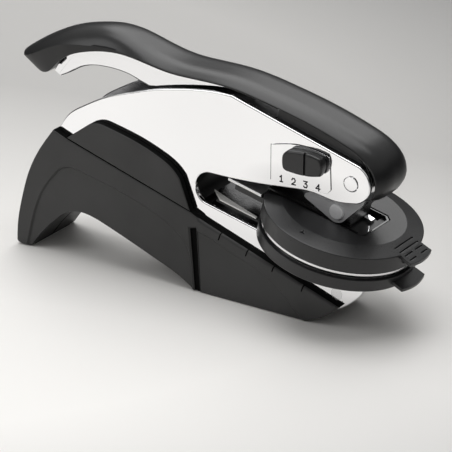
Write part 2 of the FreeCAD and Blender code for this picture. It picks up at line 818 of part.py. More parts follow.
def retaining_clip():
    """Bent strip that closes the front of the pocket."""
    half = pocket_half_width - seat_gap
    front = pocket_front - clip_inset
    t = clip_thickness
    b = clip_bevel
    c = b + 0.5
    outer = [(clip_rear, -half), (pocket_front - b, -half), (front, -half + b),
             (front, half - b), (pocket_front - b, half), (clip_rear, half)]
    inner = [(clip_rear, half - t), (pocket_front - c, half - t), (front - t, half - c),
             (front - t, -half + c), (pocket_front - c, -half + t), (clip_rear, -half + t)]
    return prism(outer + inner, pocket_floor, pocket_floor + clip_height)


def lower_die_holder():
    r = disc_radius
    bottom = lower_holder_top - lower_holder_height
    body = disc(r, bottom, lower_holder_top)
    tongue = block(lower_tongue_rear, -r + tongue_root, -tongue_half_width, tongue_half_width,
                   bottom, lower_tongue_top)
    finger = tab(lower_tab_length, lower_tab_half_width, lower_tab_bottom, lower_tab_top, 0.0)
    body = joined(body, finger, tongue)
    cuts = [disc(r - cup_wall, cup_floor, HUGE / 2)]
    for v in tongue_grooves:
        cuts.append(block(-HUGE, -r - 0.6, v, v + tongue_groove_width,
                          lower_tongue_top - tongue_groove_depth, 0))
    for step in lower_tab_grooves:
        cuts.append(block(r + step, r + step + lower_groove_width, 0.8 - lower_tab_half_width,
                          lower_tab_half_width - 0.8, lower_tab_top - lower_groove_depth,
                          lower_tab_top + 1.0))
    return body.cut(cuts)


def lower_die():
    top = -upper_holder_height - upper_die_step - upper_die_height - die_clearance
    plate = disc(disc_radius - cup_wall - 0.2, cup_floor, top)
    ring = disc(lower_ring_radius, top, top + relief_height)
    ring = ring.cut(disc(lower_ring_radius - lower_ring_width, top - 1, top + 1))
    inner = disc(lower_centre_radius, top, top + relief_height)
    return joined(plate, ring, inner)


def lower_strip():
    end = -disc_radius - strip_gap
    half = tongue_half_width
    return prism([(lower_strip_tip, -lower_strip_tip_half), (lower_strip_shoulder, -half),
                  (end, -half), (end, half), (lower_strip_shoulder, half),
                  (lower_strip_tip, lower_strip_tip_half)],
                 lower_tongue_top, lower_tongue_top + strip_thickness)


# ------------------------------------------------------------------ lock

def bezel_face():
    return outline([
        ("line", [(-20.8, 44.9), (-20.8, 57.0)]),
        ("curve", [(-20.8, 57.0), (-11.1, 58.9), (-4.9, 58.6), (0.7, 57.3)]),
        ("line", [(0.7, 57.3), (1.2, 46.4), (0.0, 44.9), (-20.8, 44.9)]),
    ])


def lock_bezel():
    plate = slab(bezel_face(), -frame_half - bezel_thickness, -frame_half)
    cuts = [stem_slot(-HUGE, 0)]
    outer = -frame_half - bezel_thickness
    for number, x in numbers_at:
        for stroke in numbers[number]:
            for start, end in zip(stroke, stroke[1:]):
                cuts.append(mark((x + start[0], mark_height + start[1]),
                                 (x + end[0], mark_height + end[1]), outer + mark_depth))
    return plate.cut(cuts)


def mark(start, end, depth):
    """Straight engraved stroke between two points, square at its ends."""
    length = math.hypot(end[0] - start[0], end[1] - start[1])
    h = mark_width / 2.0
    dx, dz = h * (end[0] - start[0]) / length, h * (end[1] - start[1]) / length
    (x0, z0), (x1, z1) = (start[0] - dx, start[1] - dz), (end[0] + dx, end[1] + dz)
    return slab(polygon([(x0 + dz, z0 - dx), (x1 + dz, z1 - dx), (x1 - dz, z1 + dx),
                         (x0 - dz, z0 + dx)]), -HUGE, depth)


def lock_button():
    y0 = -frame_half - bezel_thickness - slide_gap
    face = outline([
        ("curve", [(-15.0, 52.4), (-14.6, 56.2), (-13.2, 57.5)]),
        ("curve", [(-13.2, 57.5), (-9.0, 58.0), (-3.6, 57.8), (-1.2, 57.2)]),
        ("curve", [(-1.2, 57.2), (-0.4, 55.6), (-0.4, 53.2), (-1.2, 51.3)]),
        ("curve", [(-1.2, 51.3), (-3.8, 50.7), (-9.0, 50.3), (-13.4, 50.6)]),
        ("curve", [(-13.4, 50.6), (-14.6, 51.2), (-15.0, 52.4)]),
    ])
    body = slab(face, y0 - button_depth, y0)
    body = body.makeFillet(button_round, long_edges(body, y0 - button_depth))
    notch_right = notch_left + notch_width
    notch = polygon([(notch_left, 40.0), (notch_right, 40.0), (notch_right, 70.0),
                     (notch_left, 70.0)])
    return body.cut(slab(notch, -HUGE, y0 - button_depth + notch_depth))


def lock_bar():
    """Sliding bar inside the right plate, with the stem that carries the button."""
    x, z = stem_at
    y_in = -bay_half + slide_gap
    y_out = -frame_half - bezel_thickness - slide_gap
    bar = slab(polygon([(x - bar_rear, bar_bottom), (x + bar_front, bar_bottom),
                        (x + bar_front, bar_top), (x - bar_rear, bar_top)]),
               y_in, y_in + bar_thickness)
    half_w = stem_width / 2.0
    half_h = stem_height / 2.0
    stem = slab(polygon([(x - half_w, z - half_h), (x + half_w, z - half_h),
                         (x + half_w, z + half_h), (x - half_w, z + half_h)]),
                y_out, y_in)
    notches = []
    for i in range(bar_notch_count):
        left = x - bar_notch_start + i * bar_notch_pitch
        right = left + bar_notch_width
        low = bar_top - bar_notch_depth
        notches.append(slab(polygon([(left, low), (right, low), (right, bar_top + 1.0),
                                     (left, bar_top + 1.0)]), -HUGE, HUGE))
    return joined(bar, stem).cut(notches)


def detent_spring():
    """Leaf above the bar, staked to the inside of the right plate."""
    leaf = polygon([(-22.0, 57.4), (-14.0, 57.4), (-13.4, 56.7), (-12.8, 57.4), (-6.2, 57.4),
                    (-6.2, 57.9), (-22.0, 57.9)])
    tab_plate = polygon([(-22.0, 57.6), (-17.5, 57.6), (-17.5, 60.6), (-22.0, 60.6)])
    return joined(slab(leaf, -bay_half, -bay_half + leaf_width),
                  slab(tab_plate, -bay_half, -bay_half + leaf_thickness))


# ------------------------------------------------------------------ build and export

def build():
    os.makedirs("parts", exist_ok=True)
    export("frame_plate_right", frame_plate(-1))
    export("frame_plate_left", frame_plate(1))
    export("frame_core", frame_core())
    for i, (x, z) in enumerate(frame_rivets_at):
        export("frame_rivet_%d" % (i + 1), frame_rivet(x, z))
    export("anvil_plate", anvil_plate())
    export("jaw_spacer", jaw_spacer())
    export("base_shell_right", shell_half(-1))
    export("base_shell_left", shell_half(1))
    export("side_panel_right", side_panel(-1))
    export("side_panel_left", side_panel(1))
    for i, (x, z) in enumerate(screws_at):
        export("base_screw_%d" % (i + 1), base_screw(x, z))
    export("rear_foot_pad", foot_pad(*rear_pad))
    export("front_foot_pad", foot_pad(*front_pad))
    export("lever", lever())
    export("handle_cover", handle_cover())
    for i, place in enumerate(cover_screws_at):
        export("cover_screw_%d" % (i + 1), cover_screw(*place))
    export("handle_pivot_pin", domed_rivet(pivot[0], pivot[1], pivot_pin_radius, frame_half,
                                           rivet_head_height))
    export("link_pin", domed_rivet(link[0], link[1], link_pin_radius, lever_half,
                                   bay_half - slide_gap - lever_half))
    export("return_spring", return_spring())
    export("pivot_washer_right", washer(-1))
    export("pivot_washer_left", washer(1))
    export("ram", ram())
    export("ram_guide", ram_guide())
    export("upper_die_holder", upper_die_holder())
    export("upper_strip", upper_strip())
    export("upper_die", upper_die())
    export("retaining_clip", retaining_clip())
    export("lower_die_holder", lower_die_holder())
    export("lower_die", lower_die())
    export("lower_strip", lower_strip())
    export("lock_bezel", lock_bezel())
    export("lock_button", lock_button())
    export("lock_bar", lock_bar())
    export("detent_spring", detent_spring())


build()
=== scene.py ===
import bmesh
import bpy
import math
import numpy as np
from mathutils import Matrix, Vector


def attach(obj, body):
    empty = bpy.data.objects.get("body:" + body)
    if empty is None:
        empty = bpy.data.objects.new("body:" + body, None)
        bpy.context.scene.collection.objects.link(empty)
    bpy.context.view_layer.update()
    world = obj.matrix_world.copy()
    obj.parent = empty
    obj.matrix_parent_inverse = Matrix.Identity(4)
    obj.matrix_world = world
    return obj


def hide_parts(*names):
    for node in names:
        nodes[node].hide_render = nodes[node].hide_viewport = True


# Desk seal embosser: arched stand, polished press frame, lever with a grip cover, and a
# slide-out pair of round dies. Sizes are in millimetres until a point is placed in the frame.
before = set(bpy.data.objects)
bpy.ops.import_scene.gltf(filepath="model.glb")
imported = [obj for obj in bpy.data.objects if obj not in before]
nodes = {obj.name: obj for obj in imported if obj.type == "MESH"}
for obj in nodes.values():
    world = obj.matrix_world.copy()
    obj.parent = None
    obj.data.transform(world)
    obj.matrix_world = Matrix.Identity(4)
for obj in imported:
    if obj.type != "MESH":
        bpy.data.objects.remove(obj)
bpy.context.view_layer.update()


# ---- The table it stands on, three soft lamps, the room round it, and the camera.
# A warm-white paper sweep, lit from behind, above and front left; its colour holds a painted pool
# of light round the stand and painted shade that greys it further off.
def shader(material, kind, **values):
    """One node of the material, with its sockets set: a number, a colour, or a link."""
    node = material.node_tree.nodes.new(kind)
    for name, value in values.items():
        name = name.replace("_", " ")
        if name in node.inputs:
            if isinstance(value, bpy.types.NodeSocket):
                material.node_tree.links.new(value, node.inputs[name])
            else:
                node.inputs[name].default_value = value
        else:
            setattr(node, name.replace(" ", "_"), value)
    return node


def empty_material(name):
    material = bpy.data.materials.new(name)
    material.use_nodes = True
    material.node_tree.nodes.clear()
    return material


def ramp(material, source, *stops):
    """Colour ramp over a 0 to 1 source; each stop is (position, grey or colour)."""
    node = shader(material, "ShaderNodeValToRGB", Fac=source)
    bar = node.color_ramp
    while len(bar.elements) < len(stops):
        bar.elements.new(0.5)
    for element, (position, value) in zip(bar.elements, stops):
        element.position = position
        colour = value if isinstance(value, tuple) else (value, value, value)
        element.color = colour + (1.0,)
    return node.outputs["Color"]


def soft_field(material, place, shift, angle, scale):
    """Round fade, 1 in its middle and 0 outside, stretched, turned and moved over the table."""
    spot = shader(material, "ShaderNodeMapping", Vector=place)
    spot.inputs["Location"].default_value = shift
    spot.inputs["Rotation"].default_value = (0.0, 0.0, math.radians(angle))
    spot.inputs["Scale"].default_value = scale
    fade = shader(material, "ShaderNodeTexGradient", gradient_type="SPHERICAL",
                  Vector=spot.outputs["Vector"])
    return fade.outputs["Fac"]


def times(material, first, second):
    """Product of two colours."""
    mixed = shader(material, "ShaderNodeMix", data_type="RGBA", blend_type="MULTIPLY")
    mixed.inputs["Factor"].default_value = 1.0
    material.node_tree.links.new(first, mixed.inputs[6])
    material.node_tree.links.new(second, mixed.inputs[7])
    return mixed.outputs[2]


def table_top():
    """Warm-white paper sweep round the stand; its colour is painted light, a bright pool round the
    stand falling off to grey further away.
    """
    material = empty_material("paper_sweep")
    place = shader(material, "ShaderNodeTexCoord").outputs["Object"]
    # Painted light in the paper's colour: a bright pool round the stand, and painted shade further
    # off.
    near = soft_field(material, place, (0.349, 0.293, 0.0), 41.6, (1.87, 2.41, 1.0))
    painted_falloff = soft_field(material, place, (-0.531, -0.066, 0.0), 80.9, (1.59, 3.57, 1.0))
    tone = times(material,
                 ramp(material, near, (0.0, (0.24, 0.24, 0.245)), (0.45, (0.885, 0.87, 0.85))),
                 ramp(material, painted_falloff, (0.0, 0.50), (0.6, 1.0)))
    grain = shader(material, "ShaderNodeTexNoise", Scale=900.0, Detail=4.0, Vector=place)
    bump = shader(material, "ShaderNodeBump", Strength=0.05, Distance=0.0002,
                  Height=grain.outputs["Fac"])
    surface = shader(material, "ShaderNodeBsdfPrincipled", Base_Color=tone, Roughness=0.8,
                     Normal=bump.outputs["Normal"])
    shader(material, "ShaderNodeOutputMaterial", Surface=surface.outputs["BSDF"])
    return material


floor_mesh = bpy.data.meshes.new("table")
floor_mesh.from_pydata([(-4, -4, 0), (4, -4, 0), (4, 4, 0), (-4, 4, 0)], [], [(0, 1, 2, 3)])
floor = bpy.data.objects.new("table", floor_mesh)
bpy.context.scene.collection.objects.link(floor)
floor_mesh.materials.append(table_top())


def soft_lamp(name, place, target, size, power):
    lamp = bpy.data.lights.new(name, "AREA")
    lamp.shape = "RECTANGLE"
    lamp.size, lamp.size_y = size
    lamp.energy = power
    holder = bpy.data.objects.new(name, lamp)
    holder.location = place
    direction = Vector(target) - Vector(place)
    holder.rotation_euler = direction.to_track_quat("-Z", "Y").to_euler()
    bpy.context.scene.collection.objects.link(holder)


soft_lamp("back_lamp", (-0.30, 0.62, 0.76), (0.0, 0.0, 0.04), (0.8, 0.5), 3.0)
soft_lamp("top_lamp", (-0.12, 0.1, 1.15), (0.0, 0.0, 0.0), (0.9, 0.9), 7.6)
soft_lamp("front_lamp", (-0.80, -0.72, 0.72), (-0.03, 0.0, 0.04), (0.6, 0.6), 2.6)


def studio_walls():
    """Dim room: dark near the horizon, so that polished edges are drawn, paler overhead."""
    world = bpy.data.worlds.new("studio")
    world.use_nodes = True
    background = world.node_tree.nodes["Background"]
    place = shader(world, "ShaderNodeTexCoord").outputs["Generated"]
    parts = shader(world, "ShaderNodeSeparateXYZ", Vector=place)
    height = ramp(world, parts.outputs["Z"], (0.0, 0.30), (0.02, 0.02), (0.22, 0.05),
                  (0.5, (0.42, 0.42, 0.415)), (1.0, (0.50, 0.50, 0.49)))
    world.node_tree.links.new(height, background.inputs["Color"])
    background.inputs["Strength"].default_value = 1.0
    return world


bpy.context.scene.world = studio_walls()
bpy.context.scene.view_settings.view_transform = "Standard"

camera = bpy.data.cameras.new("camera")
camera.sensor_width = 36.0
camera.lens = 223.0
camera.clip_start = 0.05
camera_axes = ((0.83734, 0.54667, 0.00264), (-0.21734, 0.32846, 0.91917),
               (0.50162, -0.77024, 0.39385))
camera_holder = bpy.data.objects.new("camera", camera)
turn = Matrix(camera_axes).transposed().to_4x4()
camera_holder.matrix_world = Matrix.Translation((0.46056, -0.70464, 0.37998)) @ turn
bpy.context.scene.collection.objects.link(camera_holder)
bpy.context.scene.camera = camera_holder


# ---- Press frame: two polished chrome side plates over a black core, held by rivets.
# The plates are stamped from 1.8 mm sheet and tumbled, so every edge is softly rounded.
middle = 46.3
frame_half = 10.5
plate_thickness = 1.8
bay_half = frame_half - plate_thickness
plate_round = 0.45
frame_rivets = [(-84.0, 42.5), (-60.0, 34.0), (-29.0, 18.6)]
spacer = (4.0, 11.5)
pivot = (8.4, 50.1)
nose_radius = 6.8
pin_radius = 2.0
pin_hole = 2.03
pivot_sink_radius = 2.7
pivot_sink_depth = 1.2
bezel_bed_depth = 0.4
cutter_reach = 20.0
hands = ((-1, "right"), (1, "left"))
jaw_rear = (-46.5, 31.4)
jaw_front = (14.5, 17.0)


def at(x, z, y=0.0):
    """Drawing point, measured from the axis of the dies, to its place in the frame."""
    return Vector(((x + middle) / 1000.0, y / 1000.0, z / 1000.0))


def smooth(points, step=0.8):
    """Points along the smooth line through the given ones, spaced by their first two numbers."""
    p = np.array(points, float)
    count = len(p)
    reach = np.linalg.norm(np.diff(p[:, :2], axis=0), axis=1)
    table = np.eye(count)
    pull = np.zeros_like(p)
    for i in range(1, count - 1):
        table[i, i - 1:i + 2] = reach[i - 1], 2 * (reach[i - 1] + reach[i]), reach[i]
        pull[i] = 6 * ((p[i + 1] - p[i]) / reach[i] - (p[i] - p[i - 1]) / reach[i - 1])
    bend = np.linalg.solve(table, pull)
    line = []
    for i in range(count - 1):
        parts = max(1, round(reach[i] / step))
        for k in range(parts):
            b = k / parts
            a = 1 - b
            line.append(a * p[i] + b * p[i + 1] + ((a ** 3 - a) * bend[i]
                        + (b ** 3 - b) * bend[i + 1]) * reach[i] ** 2 / 6)
    return line + [p[-1]]


def arc(a, b, c, step=0.6):
    """Points on the circle from a through b to c."""
    (ax, az), (bx, bz), (cx, cz) = a, b, c
    d = 2 * (ax * (bz - cz) + bx * (cz - az) + cx * (az - bz))
    sa, sb, sc = ax * ax + az * az, bx * bx + bz * bz, cx * cx + cz * cz
    ox = (sa * (bz - cz) + sb * (cz - az) + sc * (az - bz)) / d
    oz = (sa * (cx - bx) + sb * (ax - cx) + sc * (bx - ax)) / d
    radius = math.hypot(ax - ox, az - oz)
    start = math.atan2(az - oz, ax - ox)
    turn = (bx - ax) * (cz - bz) - (bz - az) * (cx - bx)
    sweep = (math.atan2(cz - oz, cx - ox) - start) % math.tau
    if turn < 0:
        sweep -= math.tau
    parts = max(4, round(abs(sweep) * radius / step))
    return [(ox + radius * math.cos(start + sweep * k / parts),
             oz + radius * math.sin(start + sweep * k / parts)) for k in range(parts + 1)]


def outline(*runs):
    """Closed side view from ("line" | "arc" | "curve", points) runs, end to start."""
    closed = []
    for kind, points in runs:
        if kind == "curve":
            points = smooth(points)
        elif kind == "arc":
            points = arc(*points)
        closed += [(float(p[0]), float(p[1])) for p in points[:-1]]
    return closed


def new_piece(name, points, faces):
    mesh = bpy.data.meshes.new(name)
    mesh.from_pydata([tuple(p) for p in points], [], faces)
    shape = bmesh.new()
    shape.from_mesh(mesh)
    bmesh.ops.remove_doubles(shape, verts=shape.verts, dist=1e-6)
    bmesh.ops.recalc_face_normals(shape, faces=shape.faces)
    shape.to_mesh(mesh)
    shape.free()
    piece = bpy.data.objects.new(name, mesh)
    bpy.context.scene.collection.objects.link(piece)
    return piece


def prism(name, lower, upper):
    """Solid between two matching loops of points."""
    n = len(lower)
    sides = [(i, (i + 1) % n, n + (i + 1) % n, n + i) for i in range(n)]
    ends = [tuple(range(n - 1, -1, -1)), tuple(range(n, 2 * n))]
    return new_piece(name, list(lower) + list(upper), sides + ends)


def slab(name, side_view, y0, y1):
    return prism(name, [at(x, z, y0) for x, z in side_view],
                 [at(x, z, y1) for x, z in side_view])


def moved_in(loop, amounts):
    """Closed loop with every point moved towards its inside by its own amount."""
    count = len(loop)
    area = sum(loop[i - 1][0] * loop[i][1] - loop[i][0] * loop[i - 1][1] for i in range(count))
    hand = 1.0 if area > 0 else -1.0
    moved = []
    for i in range(count):
        a, b, c = (Vector(loop[k]) for k in (i - 1, i, (i + 1) % count))
        before, after = (b - a).normalized(), (c - b).normalized()
        n0, n1 = Vector((-before.y, before.x)), Vector((-after.y, after.x))
        lean = n0 + n1
        reach = amounts[i] * hand / max(0.5 * lean.length_squared, 0.35)
        moved.append((b.x + lean.x * reach, b.y + lean.y * reach))
    return moved


def rounded_slab(name, side_view, y0, y1, edge, parts=4):
    """Slab with round rims; edge is the radius, or a function that gives it at (x, z)."""
    radii = [edge(x, z) if callable(edge) else edge for x, z in side_view]
    sign = 1.0 if y1 > y0 else -1.0
    loops = []
    for start, way in ((y0, sign), (y1, -sign)):
        rim = []
        for k in range(parts + 1):
            a = math.radians(90.0 * k / parts)
            inner = moved_in(side_view, [r * (1 - math.sin(a)) for r in radii])
            rim.append([at(x, z, start + way * r * (1 - math.cos(a)))
                        for (x, z), r in zip(inner, radii)])
        loops += rim if start == y0 else rim[::-1]
    return stacked(name, loops)


def stacked(name, loops):
    """Closed solid through matching loops of points, from the first to the last."""
    n = len(loops[0])
    points = [p for loop in loops for p in loop]
    faces = [tuple(range(n - 1, -1, -1)), tuple(range(len(points) - n, len(points)))]
    for level in range(len(loops) - 1):
        for i in range(n):
            a, b = level * n + i, level * n + (i + 1) % n
            faces.append((a, b, b + n, a + n))
    return new_piece(name, points, faces)


def rod(name, x, z, radius, y0, y1, sides=40):
    ring = [(x + radius * math.cos(math.tau * k / sides),
             z + radius * math.sin(math.tau * k / sides)) for k in range(sides)]
    return slab(name, ring, y0, y1)


def settle(piece):
    """Makes the result of the piece's modifiers its mesh."""
    graph = bpy.context.evaluated_depsgraph_get()
    mesh = bpy.data.meshes.new_from_object(piece.evaluated_get(graph))
    piece.modifiers.clear()
    old, piece.data = piece.data, mesh
    mesh.name = piece.name
    bpy.data.meshes.remove(old)
    return piece


def combine(piece, others, how="DIFFERENCE"):
    """Cuts the other solids out of the piece, or joins them to it, and removes them."""
    for other in others:
        step = piece.modifiers.new("combine", "BOOLEAN")
        step.operation = how
        step.solver = "EXACT"
        step.object = other
    settle(piece)
    for other in others:
        bpy.data.objects.remove(other)
    return piece


def soften(piece, width, turn=50.0):
    """Rounds the outward edges of the piece that turn by the given angle or more."""
    shape = bmesh.new()
    shape.from_mesh(piece.data)
    bmesh.ops.remove_doubles(shape, verts=shape.verts, dist=2e-6)
    bmesh.ops.dissolve_limit(shape, angle_limit=math.radians(0.6), verts=shape.verts,
                             edges=shape.edges)
    sharp = []
    for edge in shape.edges:
        if len(edge.link_faces) != 2 or not edge.is_convex:
            continue
        if edge.calc_face_angle(0.0) >= math.radians(turn):
            sharp.append(edge)
    bmesh.ops.bevel(shape, geom=sharp, offset=width / 1000.0, offset_type="OFFSET",
                    segments=2, profile=0.5, affect="EDGES", clamp_overlap=False)
    bmesh.ops.recalc_face_normals(shape, faces=shape.faces)
    shape.to_mesh(piece.data)
    shape.free()
    return piece


def finish_piece(piece, material, body, replaced, angle=38.0, second=None, where=None):
    """Smooth shading with flat faces kept flat, material, and its place on the body.
    The second material goes on the faces where a test of their centre and direction says."""
    mesh = piece.data
    mesh.materials.clear()
    mesh.materials.append(material)
    if second:
        mesh.materials.append(second)
        for face in mesh.polygons:
            c = face.center * 1000
            face.material_index = int(where(c.x - middle, c.y, c.z, face.normal))
    mesh.polygons.foreach_set("use_smooth", [True] * len(mesh.polygons))
    mesh.set_sharp_from_angle(angle=math.radians(angle))
    flat = piece.modifiers.new("flat_faces", "WEIGHTED_NORMAL")
    flat.keep_sharp = True
    flat.weight = 90
    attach(piece, body)
    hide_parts(replaced)
    return piece


def mirrored(piece):
    """Turns a right-hand part into the left-hand one."""
    piece.data.transform(Matrix.Scale(-1.0, 4, (0.0, 1.0, 0.0)))
    piece.data.flip_normals()
    return piece


def repaint(name, material):
    """Gives a frame part that is right as it stands its finish."""
    mesh = nodes[name].data
    mesh.materials.clear()
    mesh.materials.append(material)


def chrome(name, shade=0.88, rough=(0.05, 0.10), wave=0.25, field=None):
    """Polished chrome: slow waves left by the press, and a haze of fine wipe marks.
    A field is (centre, sizes, darkening), in millimetres: a soft darker patch of painted shade,
    standing in for a shaded reflection."""
    material = empty_material(name)
    place = shader(material, "ShaderNodeTexCoord").outputs["Object"]
    slow = shader(material, "ShaderNodeTexNoise", Scale=22.0, Detail=1.0, Vector=place)
    wiped = shader(material, "ShaderNodeMapping", Vector=place)
    wiped.inputs["Rotation"].default_value = (0.0, math.radians(24.0), 0.0)
    wiped.inputs["Scale"].default_value = (60.0, 500.0, 1500.0)
    marks = shader(material, "ShaderNodeTexNoise", Scale=1.0, Detail=3.0,
                   Vector=wiped.outputs["Vector"])
    haze = ramp(material, marks.outputs["Fac"], (0.35, rough[0]), (0.75, rough[1]))
    tint = ramp(material, slow.outputs["Fac"], (0.3, (shade - 0.03, shade - 0.03, shade - 0.02)),
                (0.7, (shade, shade, shade + 0.01)))
    if field:
        centre, sizes, dark = field
        spot = shader(material, "ShaderNodeMapping", vector_type="TEXTURE", Vector=place)
        spot.inputs["Location"].default_value = at(centre[0], centre[2], centre[1])
        spot.inputs["Scale"].default_value = [size / 1000.0 for size in sizes]
        fade = shader(material, "ShaderNodeTexGradient", gradient_type="SPHERICAL",
                      Vector=spot.outputs["Vector"])
        tint = times(material, tint, ramp(material, fade.outputs["Fac"], (0.0, 1.0), (0.6, dark)))
    bump = shader(material, "ShaderNodeBump", Strength=wave, Distance=0.0006,
                  Height=slow.outputs["Fac"])
    fine = shader(material, "ShaderNodeBump", Strength=0.02, Distance=0.0001,
                  Height=marks.outputs["Fac"], Normal=bump.outputs["Normal"])
    surface = shader(material, "ShaderNodeBsdfPrincipled", Base_Color=tint, Metallic=1.0,
                     Roughness=haze, Normal=fine.outputs["Normal"])
    shader(material, "ShaderNodeOutputMaterial", Surface=surface.outputs["BSDF"])
    return material


def moulded(name, colour, rough, grain, depth, specular=0.5, blotch=0.25):
    """Moulded or painted surface: fine texture, and a slow change of tone and sheen."""
    material = empty_material(name)
    place = shader(material, "ShaderNodeTexCoord").outputs["Object"]
    slow = shader(material, "ShaderNodeTexNoise", Scale=45.0, Detail=3.0, Vector=place)
    fine = shader(material, "ShaderNodeTexNoise", Scale=grain, Detail=3.0, Roughness=0.6,
                  Vector=place)
    pits = shader(material, "ShaderNodeTexVoronoi", Scale=grain * 0.8, Vector=place)
    low = tuple(c * (1 - blotch) for c in colour)
    high = tuple(c * (1 + blotch) for c in colour)
    tone = ramp(material, slow.outputs["Fac"], (0.3, low), (0.7, high))
    sheen = ramp(material, fine.outputs["Fac"], (0.3, rough - 0.05), (0.7, rough + 0.05))
    coarse = shader(material, "ShaderNodeBump", Strength=0.5, Distance=depth / 1000.0,
                    Height=pits.outputs["Distance"])
    bump = shader(material, "ShaderNodeBump", Strength=0.6, Distance=depth / 1000.0,
                  Height=fine.outputs["Fac"], Normal=coarse.outputs["Normal"])
    surface = shader(material, "ShaderNodeBsdfPrincipled", Base_Color=tone, Roughness=sheen,
                     Normal=bump.outputs["Normal"])
    surface.inputs["Specular IOR Level"].default_value = specular
    shader(material, "ShaderNodeOutputMaterial", Surface=surface.outputs["BSDF"])
    return material


def nose_point(angle_deg):
    """Point on the frame's round nose, which is centred on the pivot."""
    a = math.radians(angle_deg)
    return (pivot[0] + nose_radius * math.cos(a), pivot[1] + nose_radius * math.sin(a))


plate_side = outline(
    ("curve", [(-103.4, 45.4), (-100.1, 50.2), (-93.5, 54.9), (-85.0, 59.5), (-74.3, 63.4),
               (-67.6, 65.6), (-57.9, 67.9), (-47.5, 69.7), (-41.8, 70.2), (-35.8, 70.1)]),
    ("line", [(-35.8, 70.1), nose_point(74)]),
    ("arc", [nose_point(74), nose_point(0), nose_point(-70)]),
    ("curve", [nose_point(-70), (2.3, 42.8), (-5.0, 43.9), (-13.5, 43.6), (-22.3, 42.8),
               (-29.6, 42.3), (-37.6, 42.0), (-44.2, 42.0)]),
    ("arc", [(-44.2, 42.0), (-49.6, 36.4), jaw_rear]),
    ("line", [jaw_rear, jaw_front]),
    ("curve", [jaw_front, (13.6, 14.2), (10.6, 10.6), (5.6, 6.8), (3.0, 5.4)]),
    ("line", [(3.0, 5.4), (0.0, 5.4), (-50.0, 22.5), (-90.0, 37.0), (-99.6, 43.2)]),
    ("curve", [(-99.6, 43.2), (-101.6, 43.2), (-103.4, 45.4)]))
stem_window = [(-14.3, 52.5), (-5.7, 52.5), (-5.7, 56.1), (-14.3, 56.1)]
# The side plates carry a field of painted shade low at the front, where shade is reflected in
# them.
plate_chrome = chrome("plate_chrome", 0.93, field=((-8.0, 0.0, 44.0), (26.0, 40.0, 9.0), 0.82))
# The plates' inner faces, between the plates, take a darker, rougher copy of the chrome: painted
# shade.
plate_painted_shade = chrome("plate_painted_shade", 0.26, (0.20, 0.30), 0.2)

bezel_side = outline(
    ("line", [(-20.8, 44.9), (-20.8, 57.0)]),
    ("curve", [(-20.8, 57.0), (-11.1, 58.9), (-4.9, 58.6), (0.7, 57.3)]),
    ("line", [(0.7, 57.3), (1.2, 46.4), (0.0, 44.9), (-20.8, 44.9)]))
bezel_bed = outline(
    ("line", [(-21.1, 45.1), (-21.1, 57.2)]),
    ("curve", [(-21.1, 57.2), (-11.1, 59.2), (-4.9, 58.9), (1.0, 57.6)]),
    ("line", [(1.0, 57.6), (1.5, 46.3), (0.0, 45.1), (-21.1, 45.1)]))

for side, hand in hands:
    plate = rounded_slab("plate_" + hand, plate_side, side * frame_half, side * bay_half,
                         plate_round)
    holes = [rod("hole", x, z, pin_hole, -cutter_reach, cutter_reach)
             for x, z in frame_rivets + [pivot, spacer]]
    holes.append(rod("sink", pivot[0], pivot[1], pivot_sink_radius, side * cutter_reach,
                     side * (frame_half - pivot_sink_depth)))
    if side < 0:
        holes.append(slab("window", stem_window, -cutter_reach, 0.0))
        holes.append(slab("bed", bezel_bed, -cutter_reach, bezel_bed_depth - frame_half))
    combine(plate, holes)
    finish_piece(plate, plate_chrome, "stand", "frame_plate_" + hand, second=plate_painted_shade,
                 where=lambda x, y, z, n: abs(y) < bay_half + 0.05)

core_paint = moulded("core_paint", (0.010, 0.010, 0.010), 0.36, 900.0, 0.01, 0.18)
repaint("frame_core", core_paint)
rivet_steel = chrome("rivet_steel", 0.80, (0.14, 0.24), 0.1)
for name in ("frame_rivet_1", "frame_rivet_2", "frame_rivet_3", "jaw_spacer"):
    repaint(name, rivet_steel)


# ---- Stand: two matte moulded halves that meet on the middle line, screwed from the left.
# The leg and foot fields are let in by about half a millimetre, with small ruler ticks.
stand_half = frame_half + 2.5
shell_wall = 2.2
relief = 0.5
panel_round = 0.5
seat_gap = 0.05
stand_screws = [(-110.5, 22.0), (-70.0, 19.5), (-38.0, 8.6)]
screw_well_radius = 3.2
screw_well_depth = 2.1
foot_lift = 0.4

shell_side = outline(
    ("curve", [(-104.6, 44.7), (-109.7, 37.8), (-115.1, 27.9), (-118.4, 17.5),
               (-120.6, 6.7), (-120.9, 1.4)]),
    ("arc", [(-120.9, 1.4), (-120.2, foot_lift + 0.25), (-119.0, foot_lift)]),
    ("line", [(-119.0, foot_lift), (-115.2, foot_lift)]),
    ("curve", [(-115.2, foot_lift), (-111.8, 5.0), (-106.5, 10.8), (-101.8, 14.8),
               (-98.3, 16.7), (-94.3, 17.4), (-90.3, 17.0), (-83.0, 14.8), (-73.3, 11.3),
               (-63.6, 7.6), (-54.1, 3.6), (-49.0, foot_lift)]),
    ("line", [(-49.0, foot_lift), (-6.5, foot_lift)]),
    ("curve", [(-6.5, foot_lift), (-0.2, 3.0), (4.2, 6.2), (6.2, 8.1)]),
    ("line", [(6.2, 8.1), (-43.2, 25.0)]),
    ("curve", [(-43.2, 25.0), (-46.8, 26.3), (-50.4, 27.9)]),
    ("line", [(-50.4, 27.9), (-99.4, 42.7), (-104.6, 44.7)]))
shell_hollow = [(-104.2, 41.9), (-107.8, 36.9), (-113.0, 27.2), (-116.2, 17.0), (-117.2, 10.2),
                (-110.2, 10.2), (-103.0, 16.7), (-94.6, 19.7), (-82.3, 16.9), (-62.8, 9.7),
                (-48.5, 2.6), (-7.2, 2.6), (1.8, 7.2), (-43.3, 22.6), (-50.7, 25.2),
                (-98.9, 40.2)]
